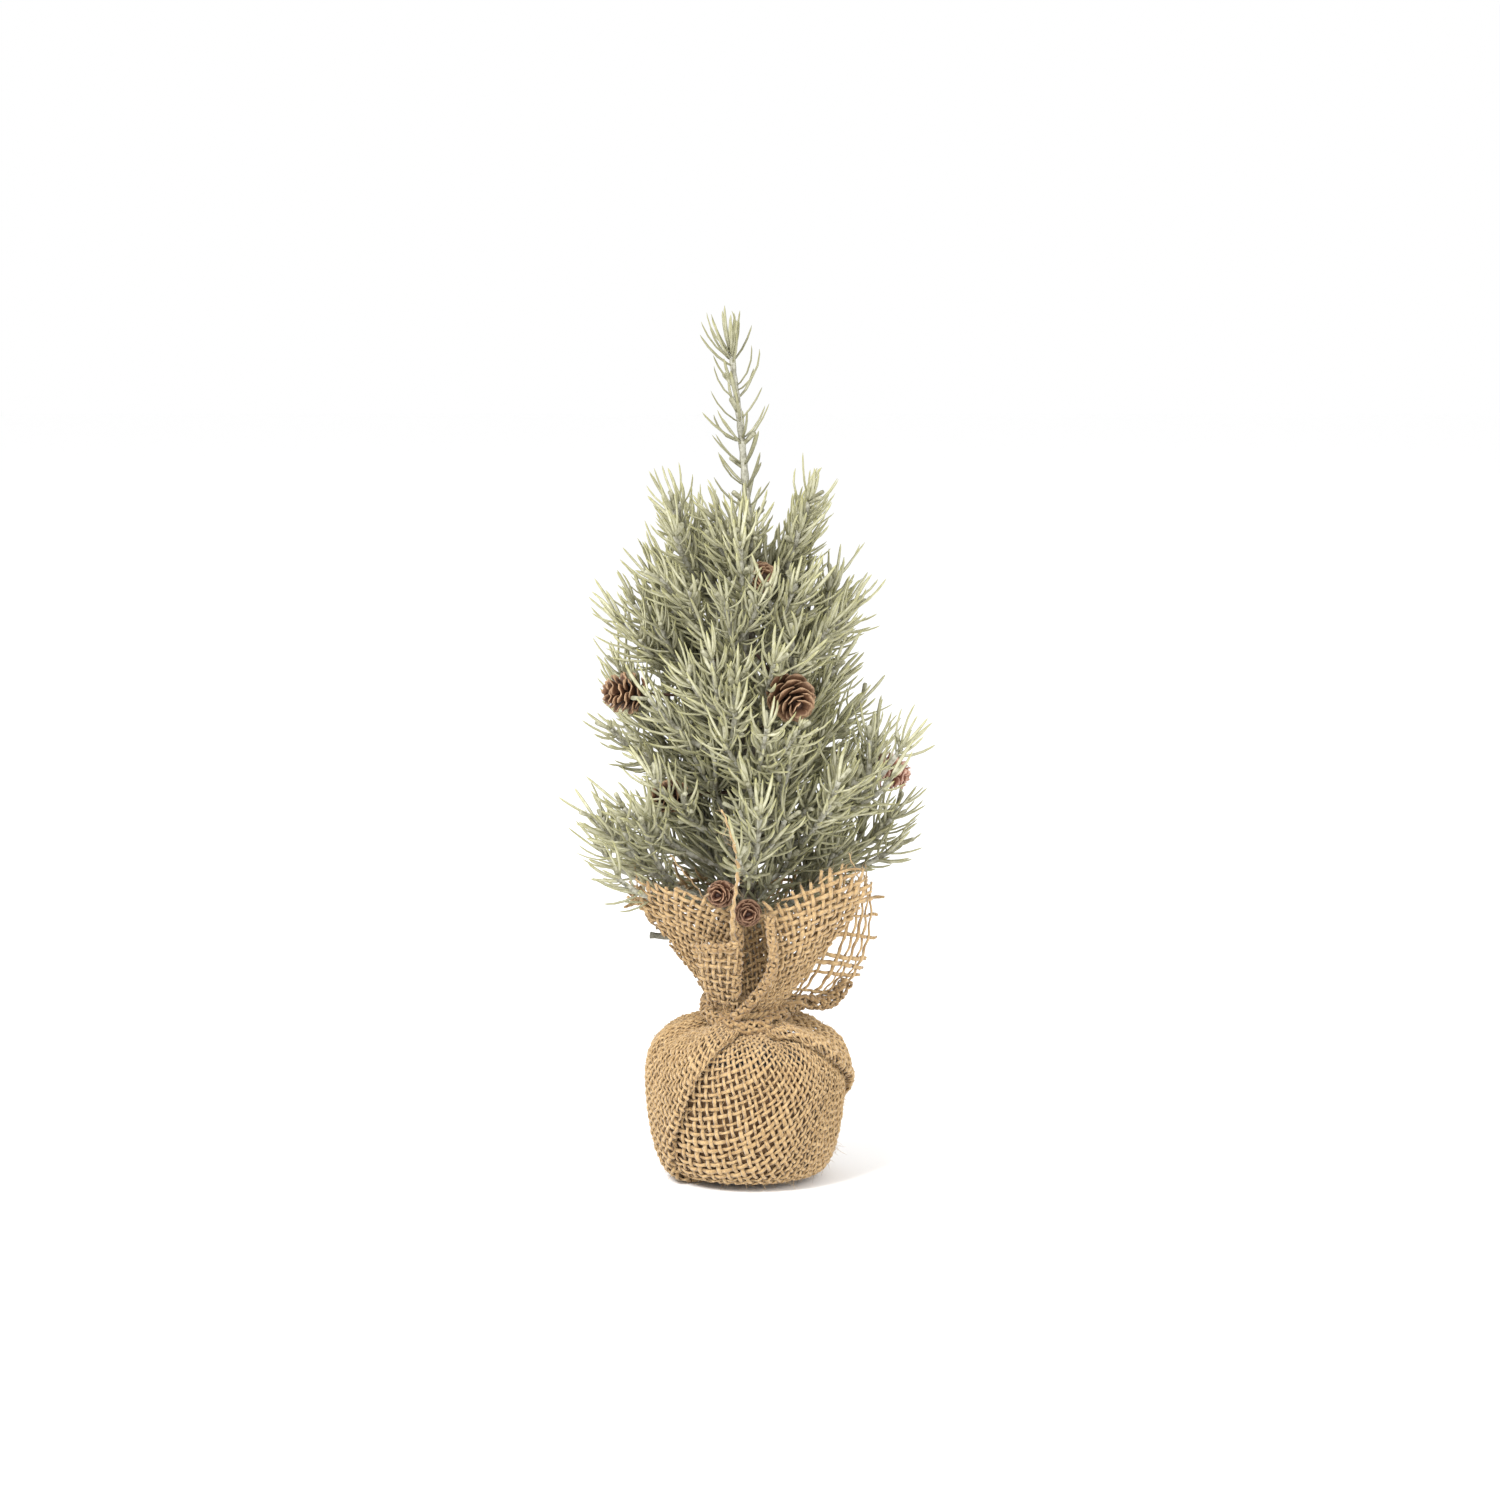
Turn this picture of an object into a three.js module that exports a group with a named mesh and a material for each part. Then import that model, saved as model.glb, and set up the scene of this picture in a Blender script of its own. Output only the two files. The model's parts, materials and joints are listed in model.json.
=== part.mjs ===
// Artificial tabletop tree: a wired trunk with bendable sprigged branches and small larch cones,
// set in a weighted pot that is wrapped in a square of burlap gathered and tied at the neck.
// Millimetres, +Z up, front towards -Y. The origin is the centre of the flat underside.
import * as THREE from "three";

// Driving dimensions
const TREE_HEIGHT = 305;
const GAP = 0.4; // clearance between touching pieces
const CLOTH = 1.6; // the burlap's thickness with its folds pressed flat
const NECK_Z = 61; // height of the tie
const NECK_RADIUS = 10.8; // gathered cloth under the tie
const TIE_RADIUS = 1.9;
const TIE_TILT = 8; // degrees, higher on the right
const POT_WALL = 1.5;
const POT_TOP = 46;
const BALLAST_TOP = 42;
const SOCKET_FLOOR = 8; // bottom of the trunk's hole in the ballast
const TRUNK_RADIUS = 3.6;
const TRUNK_TIP_RADIUS = 2.6;
const TRUNK_TAPER_Z = 120; // the trunk narrows from here up
const TRUNK_TOP = 230;
const TRUNK_SIDES = 14;
const WIRE_RADIUS = 1.1;
const WIRE_SIDES = 8;
const STEM_RADIUS = 1.2;
const LEADER_RADIUS = 1.3;
const SPRIG_RADIUS = 1;
const NEEDLE_LENGTH = 12;
const NEEDLE_SPREAD = 32; // degrees between a needle and its stem
const NEEDLE_BASE = 1.6; // a needle's thickness where it leaves the stem
const END_NEEDLE = 11; // the pointed end of a shoot
const LEADER_LEAN = 6; // how far the top shoot leans to the left

const CLOTH_COLOUR = 0xc49a64;
const NEEDLE_COLOUR = 0x8b9a7e;
const STEM_COLOUR = 0x6f7363;
const CONE_COLOUR = 0x6b4630;
const BARK_COLOUR = 0x5c5547;
const POT_COLOUR = 0x4a3424;
const CEMENT_COLOUR = 0xa8a49c;
const STEEL_COLOUR = 0x8a8c8e;

const radians = THREE.MathUtils.degToRad;
const point = (x, z) => new THREE.Vector2(x, z);

function material(color, roughness, metalness = 0) {
  return new THREE.MeshStandardMaterial({ color, roughness, metalness });
}

function piece(name, geometry, finish) {
  const mesh = new THREE.Mesh(geometry, finish);
  mesh.name = name;
  return mesh;
}

// A round tube of constant radius along a curve.
function tube(curve, radius, steps, sides) {
  const section = new THREE.Shape();
  section.absarc(0, 0, radius, 0, 2 * Math.PI);
  return new THREE.ExtrudeGeometry(section, {
    steps,
    curveSegments: sides / 2,
    extrudePath: curve,
    bevelEnabled: false,
  });
}

// Burlap: the bag's outer side, from the flat underside up to the tie, then the flared collar.
const BAG_OUTSIDE = [
  [0, 0],
  [20, 0],
  [26.5, 2.4],
  [31, 9],
  [33.8, 22],
  [35, 37],
  [34, 45],
  [30.5, 50.5],
  [24, 53.6],
  [16, 55.4],
  [NECK_RADIUS + 0.7, NECK_Z - 4.2],
  [NECK_RADIUS, NECK_Z],
  [NECK_RADIUS + 0.7, NECK_Z + 4.6],
];
const COLLAR_OUTSIDE = [
  [16.5, 68],
  [20.5, 73],
  [25, 80],
  [31, 90],
  [37, 98],
  [41, 103],
];
const COLLAR_INSIDE = [
  [39.4, 103],
  [35.6, 98.8],
  [29.6, 90.8],
  [23.6, 80.9],
  [19, 74.1],
  [12, 68],
  [TRUNK_RADIUS + 4 * GAP, NECK_Z + 3],
];
const BAG_INSIDE = [
  [TRUNK_RADIUS + 4 * GAP, NECK_Z - 4],
  [15.6, 53.6],
  [23.5, 52],
  [29.5, 49.2],
  [32.4, 44.6],
  [35 - CLOTH, 37],
  [33.8 - CLOTH, 22.2],
  [29.5, 9.6],
  [25.8, 4],
  [20, CLOTH],
  [0, CLOTH],
];
const CLOTH_SEGMENTS = 32;
const ROUND_SEGMENTS = 28; // of the pot, the ballast and the tie
const CORD_SIDES = 6;
const COLLAR_FOOT_Z = 68;
const FLAPS = 3; // corners of the cloth that stand up round the collar
const FLAP_LIFT = 0.12; // how far the flaps rise and the dips between them fall
const FLAP_TURN = 90; // degrees from +X to the first flap

function burlapGeometry() {
  const outline = [...BAG_OUTSIDE, ...COLLAR_OUTSIDE, ...COLLAR_INSIDE, ...BAG_INSIDE];
  const geometry = new THREE.LatheGeometry(
    outline.map(([x, z]) => point(x, z)),
    CLOTH_SEGMENTS,
  );
  geometry.rotateX(Math.PI / 2);
  const places = geometry.attributes.position;
  for (let i = 0; i < places.count; i += 1) {
    const z = places.getZ(i);
    if (z <= COLLAR_FOOT_Z) continue;
    const turn = Math.atan2(places.getY(i), places.getX(i)) - radians(FLAP_TURN);
    const lift = 1 + FLAP_LIFT * Math.cos(FLAPS * turn);
    places.setZ(i, COLLAR_FOOT_Z + (z - COLLAR_FOOT_Z) * lift);
  }
  return geometry;
}

function potGeometry() {
  const outside = [
    [0, CLOTH + GAP],
    [20, CLOTH + GAP],
    [25.2, 4.6],
    [29, 10],
    [31.7, 22.5],
    [32.8, 37],
    [32.3, POT_TOP - 3],
    [31.6, POT_TOP - 1],
  ];
  const inside = outside.map(([x, z], i) => [
    Math.max(x - POT_WALL, 0),
    i < 3 ? z + POT_WALL : z,
  ]);
  const outline = [...outside, ...inside.reverse()];
  return new THREE.LatheGeometry(
    outline.map(([x, z]) => point(x, z)),
    ROUND_SEGMENTS,
  ).rotateX(Math.PI / 2);
}

function ballastGeometry() {
  const floor = CLOTH + GAP + POT_WALL + GAP;
  const socket = TRUNK_RADIUS + GAP;
  const outline = [
    [0, floor],
    [18, floor],
    [23, 6.8],
    [26.9, 11],
    [29.7, 22.5],
    [30.9, 37],
    [30.5, BALLAST_TOP],
    [socket, BALLAST_TOP],
    [socket, SOCKET_FLOOR],
    [0, SOCKET_FLOOR],
  ];
  return new THREE.LatheGeometry(
    outline.map(([x, z]) => point(x, z)),
    ROUND_SEGMENTS,
  ).rotateX(Math.PI / 2);
}

function tieGeometry() {
  const ring = NECK_RADIUS + GAP + TIE_RADIUS;
  return new THREE.TorusGeometry(ring, TIE_RADIUS, CORD_SIDES, ROUND_SEGMENTS);
}

function trunkWire() {
  const length = TRUNK_TOP - SOCKET_FLOOR - 2 * GAP;
  const mesh = piece(
    "trunk_wire",
    new THREE.CylinderGeometry(WIRE_RADIUS, WIRE_RADIUS, length, WIRE_SIDES).rotateX(Math.PI / 2),
    material(STEEL_COLOUR, 0.4, 1),
  );
  mesh.position.z = SOCKET_FLOOR + GAP + length / 2;
  return mesh;
}

function trunkSleeve() {
  const bore = WIRE_RADIUS + GAP;
  const outline = [
    [bore, SOCKET_FLOOR + GAP],
    [TRUNK_RADIUS, SOCKET_FLOOR + GAP],
    [TRUNK_RADIUS, TRUNK_TAPER_Z],
    [TRUNK_TIP_RADIUS, TRUNK_TOP],
    [bore, TRUNK_TOP],
    [bore, SOCKET_FLOOR + GAP],
  ];
  const geometry = new THREE.LatheGeometry(
    outline.map(([x, z]) => point(x, z)),
    TRUNK_SIDES,
  ).rotateX(Math.PI / 2);
  return piece("trunk_sleeve", geometry, material(BARK_COLOUR, 0.85));
}

// The stations along a moulded shoot: how far along its stem each is, how far forward of that its
// vertices lie, and their distance from the stem's axis. A whorl is three stations: its needles'
// undersides, their points, and their upper sides.
function sprigStations(length, radius, whorls) {
  const stations = [
    { along: 0, forward: 0, radius: 0 },
    { along: 0, forward: 0, radius },
  ];
  const spread = radians(NEEDLE_SPREAD);
  for (const share of whorls) {
    const along = share * length;
    stations.push(
      { along, forward: 0, radius },
      {
        along,
        forward: NEEDLE_LENGTH * Math.cos(spread),
        radius: radius + NEEDLE_LENGTH * Math.sin(spread),
        valley: { forward: NEEDLE_BASE / 2, radius },
      },
      { along, forward: NEEDLE_BASE, radius },
    );
  }
  stations.push({ along: length, forward: END_NEEDLE, radius: 0 });
  return stations;
}

// A moulded shoot: a lathe of the stations, whose every second column is pulled in to the stem
// between two needles, laid along a curve.
function sprigGeometry(curve, radius, whorls, needlesPerWhorl) {
  const length = curve.getLength();
  const stations = sprigStations(length, radius, whorls);
  const outline = stations.map(({ along, radius: out }) => point(out, along));
  const columns = 2 * needlesPerWhorl;
  const geometry = new THREE.LatheGeometry(outline, columns);
  const places = geometry.attributes.position;
  for (let i = 0; i < places.count; i += 1) {
    const station = stations[i % stations.length];
    const column = Math.floor(i / stations.length) % columns;
    const shape = column % 2 && station.valley ? station.valley : station;
    const share = station.along / length;
    const tangent = curve.getTangentAt(share);
    const across = new THREE.Vector3(0, 1, 0).cross(tangent).normalize();
    const sideways = tangent.clone().cross(across);
    const turn = (2 * Math.PI * column) / columns;
    const place = curve
      .getPointAt(share)
      .addScaledVector(tangent, shape.forward)
      .addScaledVector(across, shape.radius * Math.cos(turn))
      .addScaledVector(sideways, shape.radius * Math.sin(turn));
    places.setXYZ(i, place.x, place.y, place.z);
  }
  geometry.computeVertexNormals();
  return geometry;
}

const LEADER_WHORLS = [0.1, 0.25, 0.4, 0.55, 0.7, 0.85, 0.96]; // shares of its stem
const LEADER_NEEDLES = 5; // in each whorl
const LEADER_BEND = 0.33; // its curve's middle point, as a share of the lean and of the height

function leader() {
  const foot = TRUNK_TOP + GAP;
  const height = TREE_HEIGHT - END_NEEDLE - foot;
  const curve = new THREE.CatmullRomCurve3([
    new THREE.Vector3(0, 0, 0),
    new THREE.Vector3(-LEADER_BEND * LEADER_LEAN, 0, LEADER_BEND * height),
    new THREE.Vector3(-LEADER_LEAN, 0, height),
  ]);
  const mesh = piece(
    "top_shoot",
    sprigGeometry(curve, LEADER_RADIUS, LEADER_WHORLS, LEADER_NEEDLES),
    material(NEEDLE_COLOUR, 0.8),
  );
  mesh.position.z = foot;
  return mesh;
}

// Branches, from the crown down: degrees round from +X, height of the root, how far out and how
// far up the tip ends, and the side that the second sprig forks to.
const BRANCHES = [
  { name: "crown_left", azimuth: 174, root: 194, reach: 24, rise: 43, side: 1 },
  { name: "crown_right", azimuth: -12, root: 203, reach: 21, rise: 36, side: -1 },
  { name: "crown_back", azimuth: 98, root: 184, reach: 24, rise: 42, side: 1 },
  { name: "upper_left", azimuth: 142, root: 164, reach: 37, rise: 52, side: 1 },
  { name: "upper_right", azimuth: 26, root: 160, reach: 34, rise: 50, side: 1 },
  { name: "upper_front", azimuth: -113, root: 142, reach: 31, rise: 44, side: -1 },
  { name: "middle_left", azimuth: 168, root: 132, reach: 46, rise: 48, side: -1 },
  { name: "middle_right", azimuth: -14, root: 114, reach: 54, rise: 40, side: -1 },
  { name: "middle_front", azimuth: -63, root: 122, reach: 32, rise: 30, side: -1 },
  { name: "middle_back", azimuth: 100, root: 130, reach: 42, rise: 46, side: -1 },
  { name: "low_left", azimuth: 192, root: 96, reach: 54, rise: 34, side: 1 },
  { name: "low_right", azimuth: 16, root: 95, reach: 54, rise: 35, side: 1 },
  { name: "low_front", azimuth: -84, root: 104, reach: 38, rise: 30, side: -1 },
  { name: "low_back", azimuth: 122, root: 93, reach: 48, rise: 36, side: 1 },
];
const ROOT_GAP = 0.8; // room for a stem's foot to tilt against the trunk
const STEM_SHARE = 0.4; // how much of a branch is bare wired stem
const SPRIG_GAP_SHARE = 0.03; // between the stem's end and the moulded sprig
const FORK_ANGLE = 34; // degrees between the two sprigs, seen from above
const SIDE_SIZE = 0.8; // the side sprig's reach and rise over the tip sprig's
const SIDE_FOOT = 0.32; // where the side sprig starts along the branch
const TIP_WHORLS = [0.4, 0.68, 0.94];
const SIDE_WHORLS = [0.55, 0.92];
const BRANCH_NEEDLES = 4; // in each whorl
// A branch leaves the trunk low and swings up: its curve's middle handle lies this share of the
// way out and this share of the way up.
const BEND_OUT = 0.55;
const BEND_UP = 0.16;
// The same for a side sprig, with the share of its sideways fork that it has made by its handle.
const SIDE_BEND_OUT = 0.5;
const SIDE_BEND_UP = 0.25;
const SIDE_BEND_FORK = 0.65;

function branchCurve({ reach, rise }) {
  const start = TRUNK_RADIUS + ROOT_GAP;
  return new THREE.QuadraticBezierCurve3(
    new THREE.Vector3(start, 0, 0),
    new THREE.Vector3(start + BEND_OUT * (reach - start), 0, BEND_UP * rise),
    new THREE.Vector3(reach, 0, rise),
  );
}

// The stretch of a curve between two shares of its length.
function stretch(curve, from, to) {
  const middle = (from + to) / 2;
  return new THREE.CatmullRomCurve3(
    [from, middle, to].map((share) => curve.getPointAt(share)),
  );
}

function sideCurve(row, whole) {
  const turn = radians(FORK_ANGLE) * row.side;
  const foot = whole.getPointAt(SIDE_FOOT);
  foot.y += row.side * (STEM_RADIUS + SPRIG_RADIUS + GAP);
  const reach = SIDE_SIZE * row.reach;
  const end = new THREE.Vector3(reach * Math.cos(turn), reach * Math.sin(turn), SIDE_SIZE * row.rise);
  const bend = new THREE.Vector3(
    foot.x + SIDE_BEND_OUT * (end.x - foot.x),
    foot.y + SIDE_BEND_FORK * (end.y - foot.y),
    foot.z + SIDE_BEND_UP * (end.z - foot.z),
  );
  return new THREE.QuadraticBezierCurve3(foot, bend, end);
}

function branch(row) {
  const whole = branchCurve(row);
  const tip = stretch(whole, STEM_SHARE + SPRIG_GAP_SHARE, 1);
  const group = new THREE.Group();
  const green = material(NEEDLE_COLOUR, 0.8);
  group.add(
    piece(
      `${row.name}_stem`,
      tube(stretch(whole, 0, STEM_SHARE), STEM_RADIUS, 4, CORD_SIDES),
      material(STEM_COLOUR, 0.8),
    ),
    piece(
      `${row.name}_tip_sprig`,
      sprigGeometry(tip, SPRIG_RADIUS, TIP_WHORLS, BRANCH_NEEDLES),
      green,
    ),
    piece(
      `${row.name}_side_sprig`,
      sprigGeometry(sideCurve(row, whole), SPRIG_RADIUS, SIDE_WHORLS, BRANCH_NEEDLES),
      green,
    ),
  );
  group.position.z = row.root;
  group.rotation.z = radians(row.azimuth);
  return group;
}

// Larch cones, each on a wire stalk out of the trunk: degrees round from +X, how far out the cone's
// foot is and how high, how far its tip is pitched up, and its size against the largest.
const CONE_LENGTH = 16;
const CONE_RADIUS = 7.6;
const STALK_RADIUS = 0.6;
const CONE_SIDES = 8;
const CONE_TIERS = [0.72, 0.97, 1, 0.86, 0.6]; // widths of the open scales, foot to tip
const TIER_ROOT = 0.62; // a tier's width where it tucks under the next, over its edge's
const TIER_HEIGHT = 0.95; // how much of a tier's step its scales stand out over
const BUD_WIDTH = 0.25; // the closed scales at the tip
const BUD_SHARE = 0.93;
const CONES = [
  { name: "crown_cone", azimuth: -72, out: 8, height: 212, pitch: 8, size: 0.75 },
  { name: "left_cone", azimuth: 194, out: 36, height: 172, pitch: 4, size: 1 },
  { name: "front_cone", azimuth: -64, out: 26, height: 176, pitch: -26, size: 1.05 },
  { name: "right_cone", azimuth: 1, out: 43, height: 146, pitch: -20, size: 0.9 },
  { name: "hidden_left_cone", azimuth: 206, out: 24, height: 137, pitch: 0, size: 0.8 },
  { name: "collar_cone_left", azimuth: -110, out: 22, height: 104.5, pitch: 2, size: 0.66 },
  { name: "collar_cone_right", azimuth: -90, out: 21, height: 98, pitch: 2, size: 0.66 },
  { name: "back_cone", azimuth: 110, out: 16, height: 176, pitch: 0, size: 0.9 },
  { name: "low_back_cone", azimuth: 84, out: 32, height: 116, pitch: 6, size: 0.9 },
];

// Open scales in tiers: each tier's edge stands out and its root tucks back under the next one.
function coneGeometry(size, stalkLength) {
  const step = CONE_LENGTH / (CONE_TIERS.length + 1);
  const outline = [];
  CONE_TIERS.forEach((width, i) => {
    outline.push(point(TIER_ROOT * width * CONE_RADIUS * size, i * step * size));
    outline.push(point(width * CONE_RADIUS * size, (i + TIER_HEIGHT) * step * size));
  });
  outline.push(point(BUD_WIDTH * CONE_RADIUS * size, BUD_SHARE * CONE_LENGTH * size));
  outline.push(point(0, CONE_LENGTH * size));
  const stalk = [point(0, -stalkLength), point(STALK_RADIUS, -stalkLength), point(STALK_RADIUS, 0)];
  return new THREE.LatheGeometry([...stalk, ...outline], CONE_SIDES);
}

function cone({ name, azimuth, out, height, pitch, size }) {
  const around = radians(azimuth);
  const level = Math.cos(radians(pitch));
  const axis = new THREE.Vector3(
    level * Math.cos(around),
    level * Math.sin(around),
    Math.sin(radians(pitch)),
  );
  const stalk = (out - TRUNK_RADIUS - ROOT_GAP) / level;
  const mesh = piece(name, coneGeometry(size, stalk), material(CONE_COLOUR, 0.75));
  mesh.quaternion.setFromUnitVectors(new THREE.Vector3(0, 1, 0), axis);
  mesh.position.set(out * Math.cos(around), out * Math.sin(around), height);
  return mesh;
}

function tree() {
  const group = new THREE.Group();
  const tie = piece("neck_tie", tieGeometry(), material(CLOTH_COLOUR, 0.95));
  tie.position.z = NECK_Z;
  tie.rotation.y = -radians(TIE_TILT);
  group.add(
    piece("burlap_wrap", burlapGeometry(), material(CLOTH_COLOUR, 0.95)),
    tie,
    piece("pot", potGeometry(), material(POT_COLOUR, 0.8)),
    piece("ballast", ballastGeometry(), material(CEMENT_COLOUR, 0.95)),
    trunkWire(),
    trunkSleeve(),
    leader(),
    ...BRANCHES.map(branch),
    ...CONES.map(cone),
  );
  return group;
}

const artificialTree = tree();
export default artificialTree;
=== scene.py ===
"""An artificial tabletop tree in a burlap wrap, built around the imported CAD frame.

Units are metres, +Z is up and the front of the tree faces -Y.
"""

import json
import math

import bpy
import numpy as np
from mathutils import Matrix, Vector

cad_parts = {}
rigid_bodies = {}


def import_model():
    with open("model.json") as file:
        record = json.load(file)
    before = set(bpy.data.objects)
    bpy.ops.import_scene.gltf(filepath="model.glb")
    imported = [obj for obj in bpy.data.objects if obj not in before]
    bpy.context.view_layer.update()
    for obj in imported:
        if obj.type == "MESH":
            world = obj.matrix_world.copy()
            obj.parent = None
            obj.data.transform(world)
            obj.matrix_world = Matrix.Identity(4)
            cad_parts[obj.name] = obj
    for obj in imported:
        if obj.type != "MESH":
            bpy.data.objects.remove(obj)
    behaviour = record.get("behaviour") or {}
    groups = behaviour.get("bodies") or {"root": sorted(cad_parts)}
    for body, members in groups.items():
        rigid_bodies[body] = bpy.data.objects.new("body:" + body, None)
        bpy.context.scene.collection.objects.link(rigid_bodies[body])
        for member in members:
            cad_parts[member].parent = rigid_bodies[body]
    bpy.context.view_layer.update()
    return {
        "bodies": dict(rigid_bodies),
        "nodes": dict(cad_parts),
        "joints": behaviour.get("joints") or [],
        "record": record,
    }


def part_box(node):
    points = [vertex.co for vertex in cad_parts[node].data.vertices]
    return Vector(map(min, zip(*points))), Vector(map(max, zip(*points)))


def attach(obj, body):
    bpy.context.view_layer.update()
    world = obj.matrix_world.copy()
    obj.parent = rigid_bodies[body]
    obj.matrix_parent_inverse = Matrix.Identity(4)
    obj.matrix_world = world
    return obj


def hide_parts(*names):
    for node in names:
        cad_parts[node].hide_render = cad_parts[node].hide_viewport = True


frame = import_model()

MM = 0.001
UP = np.array((0.0, 0.0, 1.0))
GOLDEN_ANGLE = math.radians(137.5)
ANY_PHASE = (0, 6.28)  # the range of a random turn, in radians

# Foliage.
NEEDLE_LENGTH = 15 * MM
NEEDLE_WIDTH = 1.25 * MM
NEEDLE_SIDES = 6
NEEDLE_RUN = np.array((0, 0.14, 0.4, 0.68, 0.9, 1))  # shares of its length with their widths
NEEDLE_OUTLINE = np.array((0.6, 0.9, 1, 0.92, 0.64, 0.12))
WHORL_GAP = 5.5 * MM
WHORL_NEEDLES = 5
STEM_SIDES = 8
PEG_LENGTH = 6.5 * MM
PEG_RADIUS = 1.05 * MM
LONG_SPRIGS = (  # azimuth in degrees, height of the root and reach in mm, climb over reach
    (176, 164, 45, 0.72),
    (201, 108, 46, 0.55),
    (216, 116, 40, 0.7),
    (-28, 118, 42, 0.6),
    (-97, 184, 22, 1.9),
)
STRAY_TWIG = np.array(((-24, -6, 86), (-30, -7, 87), (-34, -8, 87.5))) * MM
HEART_FOOT = 88 * MM  # the lowest of the short sprigs straight off the trunk
HEART_TOP_GAP = 8 * MM  # and how far under the trunk's top they stop
HEART_STEP = 2.9 * MM
HEART_REACH = ((0.088, 0.13, 0.18, 0.21, 0.228), (34, 42, 35, 22, 12))  # by height in metres, in mm
COLLAR_OUTLINE = ((0.066, 0.086, 0.108), (0.016, 0.028, 0.044))  # heights, radii
COLLAR_INSIDE = 2 * MM  # needles whose tips come this near the collar from inside, or stand
COLLAR_OUTSIDE = 9 * MM  # no further than this outside it, are pressed short
OPEN_CORNER = (-31 * MM, 112 * MM)  # the collar's left corner, as x and the height it reaches
CORNER_ROOM = 13 * MM
CONE_ROOM = 9 * MM  # kept free of needles round the middle of a cone's open end
PRESSED = 0.3  # the length of a pressed needle, as a share of its own
TREE_OUTLINE = ((0.1, 0.15, 0.2, 0.24, 0.27), (0.052, 0.05, 0.038, 0.024, 0.008))  # heights, radii
CONE_SCALES = 30
SCALE_GRID = (8, 7)  # points up and across a scale
# From and to in mm up the top shoot, and how its needles open, in degrees.
LEADER_WHORLS = ((5, 28, (64, 26)), (29, 46, (70, 12)), (48, 60, (56, 16)))
LEADER_GAP = 7.5 * MM
LEADER_PEGS = np.array((7, 19, 27, 38, 47)) * MM
LEADER_SHADE = 0.4
END_NEEDLE = 11 * MM  # how far the CAD's end needle stands past its sprig
CURVE_SHARE = 0.55  # where a branch bends, as the CAD has it: a share of its reach
RISE_SHARE = 0.16  # and a share of its rise
SIDE_STARTS = (0.2, 0.3, 0.4, 0.5, 0.6, 0.72)  # where side sprigs fork off, up the branch

# The wrap, in millimetres.
YARN_PITCH = 2.9
YARN_WIDTH = 1.4
YARN_DEPTH = 0.82
YARN_CRIMP = 0.42  # how far a yarn rises and falls as it passes over and under
YARN_STEP = 0.84  # between the rings of points along a yarn
YARN_SIDES = 5
YARN_TWIST = 3.2  # length of one turn of a yarn's fibres
FRAY_LENGTH = 6.5
LAYER_GAP = 2.2
FOLD_RISE = 2.0  # how far a folded edge stands off the cloth under it
FOLD_RADIUS = 1.1
FOLD_UNDER = 3.4  # how much cloth runs back under a fold
CROWDED_AT = 75  # degrees from a panel's middle at which its yarns are packed most closely
PANEL_LAP = 22  # degrees of azimuth by which one panel goes on under the next
LAYER_TURN = 38  # degrees between the weaves of a flap's layers
LAYER_DROP = 3.5  # how much lower each inner layer ends
NECK_HEIGHT = 60  # where shade gathers in the tight folds
FIBRE_SHARE = 0.2  # loose fibres for each station of the yarns
LOOSE_YARNS = (  # routes, and half widths where they leave the cloth
    (((-5, -27, 88), (-5.5, -31, 98), (-4, -36, 108), (-3, -39, 118), (-6, -42, 129),
      (-9, -43, 137)), 0.95),
    (((-36, -7, 97), (-38.5, -7, 105), (-39, -8, 111), (-41, -8, 117)), 0.45),
    (((-14, -18, 100), (-17.5, -19, 106), (-22, -20, 111), (-27, -20, 118)), 0.5),
    (((36, -15, 98), (39, -16, 106), (37, -17, 112), (34.5, -17, 118)), 0.5),
)  # fmt: skip
ROLLED_EDGES = (  # routes and radii
    # The band of cloth that dips across the front of the neck and ends as the right flap's roll.
    (((-13, 5, 64), (-14.8, -3, 62.5), (-13.4, -11, 59.5), (-5, -17.6, 56), (4, -17, 56.6),
      (10.5, -12, 59.2), (14, -6, 61.5), (20, -3, 63.6), (27, 0, 61.4), (32, 2, 65), (35, 3, 70)), 2.1),
    # The front right flap's left border, the front left flap's border and the lip below it.
    (((-6, -15.5, 58), (1, -20.5, 66), (7.6, -25.5, 75), (9, -27.6, 84), (8, -29, 92),
      (7, -28.5, 98)), 1.35),
    (((-4, -23, 98), (-2.8, -24.5, 92), (-3.0, -25.5, 86), (-3.4, -24.5, 78), (-4, -19, 68)), 1.1),
    (((-19.5, -25, 86), (-12, -30, 86.3), (-3.2, -32, 88.3)), 0.9),
)  # fmt: skip
BAG_OUTLINE = (  # radii and heights, from under the middle of the base to the neck
    (0, 1.3), (21, 1.3), (27.5, 3.0), (31, 9), (33.8, 22), (35, 37), (34, 45),
    (30.5, 50.5), (24, 53.6), (16, 54.8), (11.6, 56.6), (10.8, 61), (11.5, 66),
)  # fmt: skip
TIE_TURNS = (  # radius and height, tilt, the azimuth of the low side, and thickness
    (13.8, 60.6, 24, -80, 0.95),
    (14.4, 62.6, 18, -100, 1.1),
    (14.8, 60.0, 34, -66, 1.0),
)
PLY_WIDTH = 0.72
PLY_TURN = 6.5  # length of one turn of the cord's plies


# ---------------- meshes


def add_object(name, data):
    """A new object in the scene, holding a mesh, a lamp or a camera."""
    made = bpy.data.objects.new(name, data)
    bpy.context.scene.collection.objects.link(made)
    return made


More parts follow.
